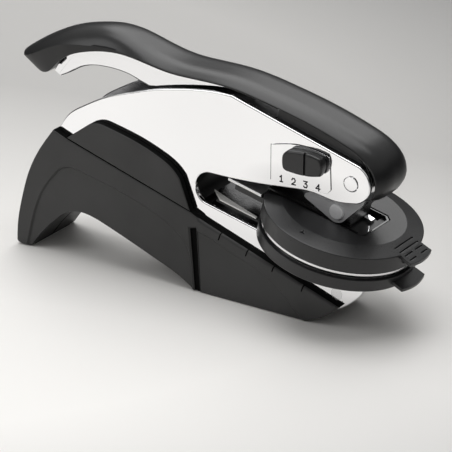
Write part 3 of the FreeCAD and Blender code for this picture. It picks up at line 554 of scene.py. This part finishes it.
frame_bay = [(-103.7, 120.0), (-103.7, 45.0), (-102.0, 42.4), (-99.6, 42.6), (-90.0, 36.9),
             (-50.0, 22.4), (0.0, 5.3), (40.0, 5.3), (40.0, 120.0)]
leg_field = outline(
    ("curve", [(-117.0, -2.0), (-115.9, 2.0), (-113.0, 13.0), (-108.7, 22.8), (-102.4, 30.7)]),
    ("curve", [(-102.4, 30.7), (-100.2, 31.9), (-92.5, 31.7), (-77.9, 28.5), (-68.3, 25.5),
               (-58.7, 21.4), (-51.6, 15.0), (-49.8, 2.4), (-49.4, -2.0)]),
    ("line", [(-49.4, -2.0), (-117.0, -2.0)]))
foot_field = outline(
    ("curve", [(-47.4, 21.6), (-42.0, 20.2), (-35.2, 17.5), (-23.6, 13.4), (-16.3, 8.9),
               (-11.4, 4.3), (-7.1, 0.0), (-5.5, -2.0)]),
    ("line", [(-5.5, -2.0), (-46.2, -2.0), (-47.4, 21.6)]))
upright_groove = [(-50.4, 22.0), (-48.0, 22.7), (-46.4, -1.0), (-48.4, -1.0)]
ruler_ticks = [(-38.7, 21.9), (-28.3, 18.8), (-18.3, 15.8), (-7.2, 11.7)]
panel_side = outline(
    ("line", [(-99.1, 43.0), (-90.1, 49.6)]),
    ("curve", [(-90.1, 49.6), (-86.9, 50.7), (-82.6, 50.3), (-72.6, 48.0), (-62.9, 44.6),
               (-56.6, 41.0), (-54.3, 38.6)]),
    ("line", [(-54.3, 38.6), (-50.2, 28.1), (-99.1, 43.0)]))

stand_plastic = moulded("stand_plastic", (0.028, 0.028, 0.028), 0.5, 2600.0, 0.012, 0.5)
# A darker copy of the stand plastic for the rims and the deep groove floors: painted shade.
stand_painted_shade = moulded("stand_painted_shade", (0.006, 0.006, 0.006), 0.6, 2600.0, 0.01, 0.02)


def painted_shade_faces(x, y, z, normal):
    """Faces that take painted shade: the upper and front rims of the shells and panels, and the
    floors of the deep grooves.
    """
    rim = abs(normal.y) < 0.2 and x > -104.5 and (normal.z > 0.2 or normal.x > 0.6)
    return rim or abs(normal.y) > 0.5 and abs(y) < stand_half - 0.8


def let_in(name, field, depth, ease=0.35):
    """Cutter for a shallow field in the stand's right face, with a bevelled border."""
    face = -stand_half
    wide = moved_in(field, [-ease] * len(field))
    return stacked(name, [[at(x, z, face - 4.0) for x, z in wide],
                          [at(x, z, face) for x, z in wide],
                          [at(x, z, face + ease) for x, z in field],
                          [at(x, z, face + depth) for x, z in field]])


def shell_edge(x, z):
    """The stand's outer rim is rounded most along the jaw and least under the panels."""
    if x > -47.5 and z > 7.0:
        return 1.2
    return 0.55 if z < 8.0 or x < -100.0 else 0.45


def shell(name, side):
    shell_body = rounded_slab(name, shell_side, -stand_half, 0.0, shell_edge)
    tools = [slab("hollow", shell_hollow, shell_wall - stand_half, 1.0),
             slab("bay", frame_bay, -frame_half - seat_gap, 1.0),
             let_in("leg", leg_field, relief + 0.1, 0.55), let_in("foot", foot_field, relief, 0.4),
             let_in("groove", upright_groove, 2 * relief, 0.5)]
    for x, z in ruler_ticks:
        tools.append(let_in("tick", [(x - 0.62, z - 1.3), (x - 0.2, z - 1.3), (x + 0.62, z + 1.3),
                                     (x + 0.2, z + 1.3)], 2 * relief, 0.06))
    if side > 0:
        for x, z in stand_screws:
            tools.append(rod("well", x, z, screw_well_radius, -cutter_reach,
                             relief - stand_half + screw_well_depth))
    combine(shell_body, tools)
    return shell_body if side < 0 else mirrored(shell_body)


for side, hand in hands:
    half = shell("stand_half_" + hand, side)
    finish_piece(half, stand_plastic, "stand", "base_shell_" + hand, second=stand_painted_shade,
                 where=painted_shade_faces)
for side, hand in hands:
    panel = rounded_slab("panel_" + hand, panel_side, side * stand_half, side * frame_half,
                         panel_round)
    finish_piece(panel, stand_plastic, "stand", "side_panel_" + hand, second=stand_painted_shade,
                 where=painted_shade_faces)

screw_black = moulded("screw_black", (0.02, 0.02, 0.021), 0.3, 1500.0, 0.01, 0.6)
foot_rubber = moulded("foot_rubber", (0.018, 0.018, 0.017), 0.75, 1800.0, 0.03, 0.3)
for i in (1, 2, 3):
    repaint("base_screw_%d" % i, screw_black)
for name in ("rear_foot_pad", "front_foot_pad"):
    repaint(name, foot_rubber)


# ---- Anvil: a brushed steel plate let into the lower jaw, which the lower dies slide on.
def brushed(name, shade, rough, run=(30.0, 2600.0, 2600.0)):
    """Brushed steel; run gives how many marks there are along each direction."""
    material = empty_material(name)
    place = shader(material, "ShaderNodeTexCoord").outputs["Object"]
    stretched = shader(material, "ShaderNodeMapping", Vector=place)
    stretched.inputs["Scale"].default_value = run
    marks = shader(material, "ShaderNodeTexNoise", Scale=1.0, Detail=4.0,
                   Vector=stretched.outputs["Vector"])
    slow = shader(material, "ShaderNodeTexNoise", Scale=60.0, Detail=2.0, Vector=place)
    sheen = ramp(material, marks.outputs["Fac"], (0.3, rough - 0.06), (0.7, rough + 0.08))
    tone = ramp(material, slow.outputs["Fac"], (0.3, (shade * 0.92, shade * 0.92, shade * 0.93)),
                (0.7, (shade, shade, shade * 1.01)))
    bump = shader(material, "ShaderNodeBump", Strength=0.12, Distance=0.0001,
                  Height=marks.outputs["Fac"])
    surface = shader(material, "ShaderNodeBsdfPrincipled", Base_Color=tone, Metallic=1.0,
                     Roughness=sheen, Normal=bump.outputs["Normal"])
    shader(material, "ShaderNodeOutputMaterial", Surface=surface.outputs["BSDF"])
    return material


slide_steel = brushed("slide_steel", 0.75, 0.22)
repaint("anvil_plate", slide_steel)


# ---- Lever: a U channel pressed from chromed sheet, its lower lip rolled round under the grip.
# It turns on the pin through the frame's nose, and carries the pin that drives the ram.
lever_half = bay_half - 0.8
lever_sheet = 1.6
link = (2.0, 38.4)
lever_top = [(-107.2, 63.6), (-105.0, 67.0), (-100.7, 70.5), (-94.0, 73.1), (-87.3, 74.5),
             (-80.8, 75.0), (-73.5, 74.4), (-61.4, 72.5), (-50.2, 72.2), (-37.9, 71.9),
             (-24.0, 69.7), (-11.0, 66.8), (6.2, 60.9), (11.0, 57.4), (13.4, 53.6),
             (14.0, 50.0), (13.3, 46.6)]
lever_side = outline(
    ("curve", lever_top),
    ("line", [lever_top[-1], (11.6, 42.6), (4.4, 35.4)]),
    ("arc", [(4.4, 35.4), (2.2, 34.5), (-0.2, 35.0)]),
    ("line", [(-0.2, 35.0), (-9.6, 40.2)]),
    ("arc", [(-9.6, 40.2), (-10.2, 41.2), (-9.6, 42.2)]),
    ("line", [(-9.6, 42.2), (-3.0, 45.4), (1.4, 49.6), (1.0, 57.0), (-4.0, 62.2),
              (-12.0, 65.6), (-33.0, 71.0)]),
    ("curve", [(-33.0, 71.0), (-41.0, 71.1), (-47.0, 70.4), (-55.4, 68.9), (-63.7, 66.9),
               (-69.4, 65.2)]),
    ("curve", [(-69.4, 65.2), (-73.8, 66.6), (-76.4, 67.5), (-81.9, 68.4), (-86.8, 68.5),
               (-91.7, 68.0), (-96.7, 66.4), (-100.4, 64.2), (-105.2, 61.6)]),
    ("line", [(-105.2, 61.6), lever_top[0]]))


def beside(line, distance):
    """Open line moved to its right-hand side."""
    moved = []
    for i, (x, z) in enumerate(line):
        x0, z0 = line[max(i - 1, 0)][:2]
        x1, z1 = line[min(i + 1, len(line) - 1)][:2]
        length = math.hypot(x1 - x0, z1 - z0)
        moved.append((x + distance * (z1 - z0) / length, z - distance * (x1 - x0) / length))
    return moved


lever_under = beside(lever_top, lever_sheet)
lever_hollow = outline(
    ("curve", lever_under),
    ("line", [lever_under[-1], (lever_under[-1][0] - 1.5, 30.0), (-150.0, 30.0),
              (-150.0, 63.0), lever_under[0]]))


def lip_round(x, z):
    """The lower lip is rolled round under the grip; every other edge is only eased."""
    low = z < 69.4 and x < -62.0 and not (x < -105.0 and z > 61.8)
    return 1.25 * min(1.0, max(0.25, (-66.0 - x) / 6.0 + 0.25)) if low else 0.3


channel = rounded_slab("lever_channel", lever_side, -lever_half, lever_half, lip_round, parts=6)
combine(channel, [slab("hollow", lever_hollow, lever_sheet - lever_half, lever_half - lever_sheet)]
        + [rod("hole", x, z, pin_hole, -cutter_reach, cutter_reach) for x, z in (pivot, link)])
split = bmesh.new()
split.from_mesh(channel.data)
bmesh.ops.bisect_plane(split, geom=split.verts[:] + split.edges[:] + split.faces[:],
                       plane_co=at(0.0, 46.0), plane_no=(0.0, 0.0, 1.0))
split.to_mesh(channel.data)
split.free()
lever_chrome = chrome("lever_chrome", 0.86, (0.10, 0.17), 0.15)
# The ear below the plates takes a rougher satin copy of the lever chrome, darker than the rest:
# painted shade.
ear_satin_painted_shade = chrome("ear_satin_painted_shade", 0.72, (0.72, 0.82), 0.15)
finish_piece(channel, lever_chrome, "lever", "lever", second=ear_satin_painted_shade,
             where=lambda x, y, z, n: z < 46.0 and abs(n.y) > 0.8)


def domed_rivet(name, place, radius, half_length, head_radius, head_height):
    """Rivet across the part, its heads pressed to a low dome at each end."""
    side = [(0.0, half_length + head_height)]
    for k in range(9):
        a = math.radians(90.0 * k / 8)
        side.append((head_radius - 0.7 * head_height * (1 - math.sin(a)),
                     half_length + head_height * (0.3 + 0.7 * math.cos(a))))
    side += [(head_radius, half_length), (radius, half_length)]
    full = side + [(r, -y) for r, y in reversed(side)]
    sides = 48
    points = [at(place[0] + r * math.cos(math.tau * k / sides),
                 place[1] + r * math.sin(math.tau * k / sides), y)
              for k in range(sides) for r, y in full]
    n = len(full)
    faces = [(k * n + i, k * n + i + 1, (k + 1) % sides * n + i + 1, (k + 1) % sides * n + i)
             for k in range(sides) for i in range(n - 1)]
    return new_piece(name, points, faces)


head_steel = chrome("head_steel", 0.98, (0.72, 0.82), 0.1)
pivot_rivet = domed_rivet("pivot_rivet", pivot, pin_radius, frame_half, head_radius=2.4,
                          head_height=0.25)
finish_piece(pivot_rivet, plate_chrome, "stand", "handle_pivot_pin")
link_rivet = domed_rivet("link_rivet", link, pin_radius, lever_half, head_radius=2.6,
                         head_height=0.7)
finish_piece(link_rivet, head_steel, "lever", "link_pin")
for name in ("pivot_washer_right", "pivot_washer_left"):
    repaint(name, slide_steel)
spring_wire = brushed("spring_wire", 0.55, 0.3, (1500.0, 1500.0, 1500.0))
repaint("return_spring", spring_wire)


# ---- Handle cover: a satin moulded grip that wraps the lever's back from tip to nose.
# Two screws hold it from under the lever. Its crown is fuller over the hand.
cover_stations = [
    (-118.4, 65.6, 152, 1.6, 0.6, 3.8, 0.60), (-115.2, 62.8, 148, 6.2, 1.8, 6.8, 0.56),
    (-110.4, 62.4, 139, 7.9, 3.2, 8.6, 0.50), (-105.4, 66.6, 122, 5.9, 3.6, 9.2, 0.46),
    (-100.8, 70.2, 109, 4.0, 4.0, 9.5, 0.46), (-94.0, 72.9, 98, 2.4, 4.8, 9.5, 0.47),
    (-87.3, 74.4, 92, 1.6, 5.1, 9.5, 0.50), (-80.8, 75.0, 86, 1.0, 4.3, 9.5, 0.54),
    (-73.5, 74.4, 82, 0.6, 2.8, 9.5, 0.58), (-61.4, 72.4, 86, 0.5, 2.0, 9.4, 0.58),
    (-50.2, 72.1, 90, 0.5, 1.9, 9.3, 0.58), (-37.9, 71.8, 86, 0.5, 1.8, 9.3, 0.58),
    (-24.0, 69.5, 78, 0.5, 1.8, 9.3, 0.58), (-11.0, 66.5, 74, 0.5, 1.9, 9.3, 0.58),
    (5.0, 61.4, 68, 0.5, 2.1, 9.3, 0.58), (11.8, 57.8, 46, 0.6, 2.7, 9.3, 0.56),
    (15.4, 53.6, 16, 0.6, 2.9, 9.3, 0.54), (16.1, 49.9, -6, 0.6, 2.3, 9.2, 0.54),
    (14.6, 45.6, -24, 0.5, 1.3, 9.0, 0.54)]
cover_wall = 1.2
hollow_from = -100.8
skirt_from = -20.0
skirt_depth = 4.2


def cover_section(station, inward):
    """Arch across the lever from the right lip over the crown to the left lip. A station is
    x, z, direction in degrees, lip height, crown height, half width and fullness."""
    x, z, angle, wall, crown, half, full = station
    a = math.radians(angle)
    half -= inward
    crown = max(crown - inward, 0.5 * crown)
    shoulder = [(-half, wall), (-0.8 * half, wall + full * crown), (0.0, wall + crown),
                (0.8 * half, wall + full * crown), (half, wall)]
    count = 32
    table = smooth(shoulder, 0.02)
    arch = [table[round(k * (len(table) - 1) / count)] for k in range(count + 1)]
    section = [(-half, wall * k / 3) for k in range(3)] + [tuple(p) for p in arch]
    section += [(half, wall * k / 3) for k in (2, 1, 0)]
    return [at(x + math.cos(a) * h, z + math.sin(a) * h, y) for y, h in section]


def join_to(piece, others):
    """Adds the other meshes to the piece as they are, and removes the objects."""
    shape = bmesh.new()
    for part in [piece] + others:
        shape.from_mesh(part.data)
    shape.to_mesh(piece.data)
    shape.free()
    for other in others:
        bpy.data.objects.remove(other)
    return piece


def grip_cover():
    """Outer and inner skins over the stations, closed along the lips; the tip is solid."""
    line = smooth(cover_stations, 1.3)
    start = next(i for i, s in enumerate(line) if s[0] > hollow_from - 0.01)
    outer = [cover_section(s, 0.0) for s in line]
    inner = [cover_section(s, cover_wall) for s in line[start:]]
    n = len(outer[0])
    points = [p for section in outer for p in section]
    base = len(points)
    points += [p for section in inner for p in section]
    faces = []
    for grid, count in ((0, len(outer)), (base, len(inner))):
        for i in range(count - 1):
            for k in range(n - 1):
                a = grid + i * n + k
                faces.append((a, a + 1, a + n + 1, a + n))
    faces.append(tuple(range(n)))
    for i in range(start - 1):
        faces.append((i * n, (i + 1) * n, (i + 2) * n - 1, (i + 1) * n - 1))
    faces.append(tuple(base + k for k in range(n)))
    i = start - 1
    faces.append((i * n, start * n, base, base + n - 1, (start + 1) * n - 1, (i + 1) * n - 1))
    for i in range(len(inner) - 1):
        for edge in (0, n - 1):
            a, b = (start + i) * n + edge, base + i * n + edge
            faces.append((a, a + n, b + n, b))
    last, last_in = (len(outer) - 1) * n, base + (len(inner) - 1) * n
    for k in range(n - 1):
        faces.append((last + k, last + k + 1, last_in + k + 1, last_in + k))
    return new_piece("grip_cover", points, faces)


cover = grip_cover()
soften(cover, 0.22, turn=48.0)
# Black strips along the lever's sides from x -20 to the nose, joined to the cover: dark sheets
# that stand in for the shade over the plates' top edges, painted shade.
skirt_line = [p for p in smooth(lever_top) if p[0] > skirt_from]
skirt_side = beside(skirt_line, 0.1) + beside(skirt_line, skirt_depth)[::-1]
shade_skirts = [slab("shade_skirt", [(float(x), float(z)) for x, z in skirt_side], side * (lever_half + 0.08),
               side * (lever_half + 0.5)) for side in (-1, 1)]
join_to(cover, shade_skirts)
cover_satin = moulded("cover_satin", (0.010, 0.010, 0.0105), 0.33, 3200.0, 0.008, 0.45, 0.12)
finish_piece(cover, cover_satin, "lever", "handle_cover", angle=34.0)
for name in ("cover_screw_1", "cover_screw_2"):
    repaint(name, screw_black)


# ---- Ram: the steel block that the lever drives down through the frame onto the die.
# A foot under it hooks into the upper holder, and a block on the core guides its back.
ram_steel = brushed("ram_steel", 0.55, 0.3)
repaint("ram", ram_steel)
repaint("ram_guide", core_paint)


# ---- Upper die set: a cast round holder in satin black, with a pocket for the ram's foot.
# The pocket's front is closed by a glossy black clip whose bright ends are chrome pieces standing
# in for its glints, painted highlights; a finger tab pulls the pair out.
jaw_depth = 13.4
jaw_tilt = math.atan2(jaw_rear[1] - jaw_front[1], jaw_front[0] - jaw_rear[0])
stack_height = jaw_front[1] + jaw_front[0] * math.tan(jaw_tilt) + jaw_depth / math.cos(jaw_tilt)
stack = Matrix.Translation(at(0.0, stack_height)) @ Matrix.Rotation(jaw_tilt, 4, "Y")
disc_radius = 26.0
platform_radius = 20.0
holder_height = 5.6
bore_half = lever_half + 1.5
tongue_half = bay_half - 0.7
foot_half = 6.2
neck_half = 4.2
slot_front = 5.3
ear_inner = 5.9
slide_gap = 0.3
open_rear = -400.0
cutter_top = 60.0


def on_stack(u, v, w):
    """Point in the jaw's directions: forward, left, and up from the upper holder's rim."""
    return stack @ Vector((u / 1000.0, v / 1000.0, w / 1000.0))


def upright(name, plan, w0, w1):
    return prism(name, [on_stack(u, v, w0) for u, v in plan],
                 [on_stack(u, v, w1) for u, v in plan])


def box(name, u0, u1, v0, v1, w0, w1):
    return upright(name, [(u0, v0), (u1, v0), (u1, v1), (u0, v1)], w0, w1)


def turned(name, profile, sides=144):
    """Solid turned on the stack's axis from a closed (radius, height) profile."""
    n = len(profile)
    points = [on_stack(r * math.cos(math.tau * k / sides), r * math.sin(math.tau * k / sides), w)
              for k in range(sides) for r, w in profile]
    faces = [(k * n + i, (k + 1) % sides * n + i, (k + 1) % sides * n + (i + 1) % n,
              k * n + (i + 1) % n)
             for k in range(sides) for i in range(n)
             if profile[i][0] > 0 or profile[(i + 1) % n][0] > 0]
    return new_piece(name, points, faces)


def corner(r, w, size, start, parts=4):
    """Rounded corner of a profile, from the given direction in quarter turns."""
    result = []
    for k in range(parts + 1):
        a = math.radians(90.0 * (start + k / parts))
        result.append((r + size * math.cos(a), w + size * math.sin(a)))
    return result


def across(name, profile, v0, v1):
    """Solid across the jaw from a closed (forward, up) profile."""
    return prism(name, [on_stack(u, v0, w) for u, w in profile],
                 [on_stack(u, v1, w) for u, w in profile])


def finger_tab(name, root, tip, end, middle_end, profile):
    """Flared tab with a bowed end, cut from a ring with the given (radius, height) profile."""
    plan = [(disc_radius - 6.0, -root), (disc_radius - 1.0, -root)]
    plan += arc((end, -tip), (middle_end, 0.0), (end, tip))
    plan += [(disc_radius - 1.0, root), (disc_radius - 6.0, root)]
    return combine(turned(name, profile), [upright("plan", plan, -40.0, 40.0)], "INTERSECT")


upper_profile = ([(0.0, -holder_height)] + corner(disc_radius - 0.4, -holder_height + 0.4, 0.4, -1)
                 + corner(disc_radius - 0.35, -0.35, 0.35, 0)
                 + [(platform_radius + 0.3, 1.33), (platform_radius, 1.4), (0.0, 1.4)])
pocket = [(open_rear, -bore_half), (10.6, -bore_half), (12.6, -bore_half + 1.2),
          (12.6, bore_half - 1.8), (10.6, bore_half), (open_rear, bore_half)]
upper_cup = turned("upper_holder", upper_profile)
tab = finger_tab("tab", 6.4, 6.7, 29.3, 30.4,
                 [(20.5, 0.0), (20.5, 1.27), (31.4, -1.45), (31.4, -2.65)])
gusset = across("gusset", [(24.0, -4.4), (24.0, -0.6), (29.2, -1.5), (28.6, -2.3)], -4.4, 4.4)
tongue = box("tongue", -36.0, 3.0 - disc_radius, -tongue_half, tongue_half, -5.2, -3.3)
combine(upper_cup, [tab, gusset, tongue], "UNION")
cuts = [upright("pocket", pocket, 0.0, cutter_top),
        box("neck", open_rear, slot_front, -neck_half - slide_gap, neck_half + slide_gap,
            -0.7, 0.3),
        box("foot", open_rear, slot_front, -foot_half - slide_gap, foot_half + slide_gap,
            -2.15, -0.6),
        box("mark", -2.9, -1.5, -22.4, -21.9, 0.5, 3.0),
        box("mark", -2.5, -2.1, -22.4, -21.0, 0.5, 3.0)]
for v in (-1, 1):
    cuts.append(box("ear_channel", open_rear, 9.0, min(v * ear_inner, v * bore_half),
                    max(v * ear_inner, v * bore_half), -2.7, cutter_top))
pull_marks = [(22.4, -5.5, 5.5), (24.4, -5.7, 5.7), (26.3, -5.3, -0.9), (26.3, 0.9, 5.3),
              (28.3, -5.3, -1.6), (28.3, 1.6, 5.3)]
for u, v0, v1 in pull_marks:
    floor_at = -0.25 * (u - 25.6) - 0.5
    cuts.append(box("pull_mark", u - 0.22, u + 0.22, v0, v1, floor_at, 4.0))
combine(upper_cup, cuts)
soften(upper_cup, 0.15)
holder_satin = moulded("holder_satin", (0.016, 0.016, 0.017), 0.32, 2400.0, 0.006, 0.5, 0.15)
finish_piece(upper_cup, holder_satin, "upper_die_set", "upper_die_holder", angle=30.0)
pale_steel = brushed("pale_steel", 0.95, 0.5)
repaint("upper_strip", pale_steel)

ring_steel = brushed("ring_steel", 0.80, 0.16, (900.0, 900.0, 900.0))
shade_black = moulded("shade_black", (0.005, 0.005, 0.005), 0.5, 900.0, 0.004, 0.3)


def dark_rim(x, y, z, normal):
    """Under side of the die plate's rim, in the shade between the two holders."""
    spot = stack.inverted() @ at(x, z, y)
    return math.hypot(spot.x, spot.y) > 0.0242 and normal.z < -0.5


die_plate = turned("upper_die_plate", [(0.0, -6.35), (6.2, -6.35), (6.4, -6.8), (19.0, -6.8),
                                       (19.1, -6.4), (20.3, -6.4), (20.4, -6.8), (25.2, -6.8),
                                       (25.35, -6.8), (25.45, -6.7), (25.45, -6.0), (25.35, -5.9),
                                       (24.0, -5.9), (24.0, -5.6), (0.0, -5.6)])
finish_piece(die_plate, ring_steel, "upper_die_set", "upper_die", second=shade_black,
             where=dark_rim)

clip_black = moulded("clip_black", (0.008, 0.008, 0.009), 0.10, 500.0, 0.002, 0.7)
clip_painted_glint = chrome("clip_painted_glint", 0.9, (0.08, 0.14), 0.1)
clip_half = bore_half - 0.05
clip = upright("clip", [(3.2, -clip_half), (10.4, -clip_half), (12.35, 1.3 - clip_half),
                        (12.35, clip_half - 1.9), (10.4, clip_half), (3.2, clip_half),
                        (3.2, clip_half - 0.7), (10.1, clip_half - 0.7),
                        (11.6, clip_half - 2.4), (11.6, 1.9 - clip_half),
                        (10.1, 0.7 - clip_half), (3.2, 0.7 - clip_half)], 0.0, 1.1)
soften(clip, 0.12)
finish_piece(clip, clip_black, "upper_die_set", "retaining_clip")
# Chrome pieces on the black clip where it shows its glints: painted highlights.
glints = [upright("tongue_end", [(5.9, 2.3), (8.8, 2.0), (8.8, 4.4), (5.9, 5.0)], 0.1, 1.2),
          upright("bent_end", [(9.3, -0.5), (9.7, -0.3), (11.9, -4.6), (11.5, -4.8)], 0.1, 0.7)]
join_to(glints[0], glints[1:])
soften(glints[0], 0.12)
finish_piece(glints[0], clip_painted_glint, "upper_die_set", "retaining_clip")


# ---- Lower die set: the same round holder turned over, a cup that carries the lower die.
# Its long ribbed tongue keys into the jaw behind the dies, under a steel strip in two tones:
# painted shade over most of it and a painted reflection along one edge.
cup_bottom = -12.5
cup_rim = -8.1
strip_seat = -11.7
strip_end = -disc_radius - 0.2
lower_profile = ([(0.0, cup_bottom)] + corner(disc_radius - 0.9, cup_bottom + 0.9, 0.9, -1)
                 + corner(disc_radius - 0.3, cup_rim - 0.3, 0.3, 0)
                 + corner(disc_radius - 2.0, cup_rim - 0.2, 0.2, 1)
                 + [(disc_radius - 2.2, -10.4), (0.0, -10.4)])
lower_cup = turned("lower_holder", lower_profile)
tab = finger_tab("tab", 7.0, 7.1, 29.0, 30.2,
                 [(24.4, -10.4), (24.4, -9.3), (31.4, -10.8), (31.4, -11.9)])
gusset = across("gusset", [(24.0, -12.3), (24.0, -10.0), (28.6, -10.8), (27.4, -12.1)],
                -4.2, 4.2)
tongue = box("lower_tongue", -41.5, 3.0 - disc_radius, -tongue_half, tongue_half, cup_bottom,
             strip_seat)
combine(lower_cup, [tab, gusset, tongue], "UNION")
cuts = [box("rib_gap", -60.0, -disc_radius - 0.6, v, v + 0.8, -12.15, 0.0)
        for v in (-7.0, -5.6, -4.2, 4.2, 5.8)]
combine(lower_cup, cuts)
soften(lower_cup, 0.15)
finish_piece(lower_cup, holder_satin, "lower_die_set", "lower_die_holder", angle=30.0)
repaint("lower_die", ring_steel)

# The strip is near-black steel where it lies in shade: painted shade.
strip_painted_shade = brushed("strip_painted_shade", 0.05, 0.24)
strip = upright("strip_shaded_part", [(-44.2, -2.8), (-40.4, -5.6), (strip_end, -5.6),
                               (strip_end, tongue_half), (-40.4, tongue_half),
                               (-44.2, 5.2)], strip_seat, -11.4)
finish_piece(strip, strip_painted_shade, "lower_die_set", "lower_strip")
# A white painted edge where the strip shows a bright reflection: painted reflection.
strip = upright("strip_glint_part", [(-45.2, -3.9), (-40.3, -7.9), (strip_end, -7.9),
                               (strip_end, -7.0), (-37.6, -5.4)], strip_seat, -11.2)
strip_painted_reflection = moulded("strip_painted_reflection", (0.86, 0.85, 0.83), 0.3, 1200.0, 0.004, 0.5, 0.04)
finish_piece(strip, strip_painted_reflection, "lower_die_set", "lower_strip")


# ---- Lock: a numbered plate round the button, and the notched bar that it slides.
# The numbers are engraved and filled with black; the button is moulded in satin black.
bezel_thickness = 0.2
bezel_front = frame_half + bezel_thickness
number_line = 46.3
stroke_half = 0.22
bezel = rounded_slab("lock_plate", bezel_side, -frame_half, -bezel_front, 0.06, parts=2)
combine(bezel, [slab("window", stem_window, -cutter_reach, 0.0)])
numbers = {
    1: [[(-0.5, 0.5), (0.0, 1.0), (0.0, -1.0)], [(-0.45, -1.0), (0.45, -1.0)]],
    2: [[(-0.6, 0.5), (-0.3, 1.0), (0.3, 1.0), (0.6, 0.5), (0.5, 0.0), (-0.6, -1.0), (0.7, -1.0)]],
    3: [[(-0.6, 1.0), (0.6, 1.0), (-0.1, 0.2), (0.3, 0.2), (0.6, -0.2), (0.6, -0.6), (0.3, -1.0),
         (-0.3, -1.0), (-0.6, -0.7)]],
    4: [[(0.3, -1.0), (0.3, 1.0), (-0.7, -0.4), (0.7, -0.4)]]}
strokes = []
for number, place in ((1, -16.9), (2, -12.4), (3, -8.0), (4, -3.4)):
    for stroke in numbers[number]:
        for (x0, z0), (x1, z1) in zip(stroke, stroke[1:]):
            reach = math.hypot(x1 - x0, z1 - z0)
            dx, dz = stroke_half * (x1 - x0) / reach, stroke_half * (z1 - z0) / reach
            stroke_side = [(place + x, number_line + z) for x, z in
                           [(x0 - dx + dz, z0 - dz - dx), (x1 + dx + dz, z1 + dz - dx),
                            (x1 + dx - dz, z1 + dz + dx), (x0 - dx - dz, z0 - dz + dx)]]
            strokes.append(slab("stroke", stroke_side, -bezel_front - 0.012, 0.1 - bezel_front))
number_black = moulded("number_black", (0.006, 0.006, 0.006), 0.5, 2500.0, 0.003, 0.3)
finish_piece(join_to(strokes[0], strokes[1:]), number_black, "stand", "lock_bezel")
finish_piece(bezel, plate_chrome, "stand", "lock_bezel")

button_side = outline(
    ("curve", [(-15.0, 52.4), (-14.6, 56.2), (-13.2, 57.5)]),
    ("curve", [(-13.2, 57.5), (-9.0, 58.0), (-3.6, 57.8), (-1.2, 57.2)]),
    ("curve", [(-1.2, 57.2), (-0.4, 55.6), (-0.4, 53.2), (-1.2, 51.3)]),
    ("curve", [(-1.2, 51.3), (-3.8, 50.7), (-9.0, 50.3), (-13.4, 50.6)]),
    ("curve", [(-13.4, 50.6), (-14.6, 51.2), (-15.0, 52.4)]))
button_back = bezel_front + 0.1
button_depth = 3.1
button_round = 0.75
notch_floor = button_back + 2.3
button = rounded_slab("button", button_side, -button_back, -button_back - button_depth,
                      button_round, parts=6)
combine(button, [slab("notch", [(-7.0, 40.0), (-6.2, 40.0), (-6.2, 70.0), (-7.0, 70.0)],
                      -cutter_reach, -notch_floor)])
button_black = moulded("button_black", (0.014, 0.014, 0.0145), 0.3, 3600.0, 0.002, 0.5, 0.1)
finish_piece(button, button_black, "lock_slide", "lock_button")
repaint("lock_bar", slide_steel)
repaint("detent_spring", spring_wire)
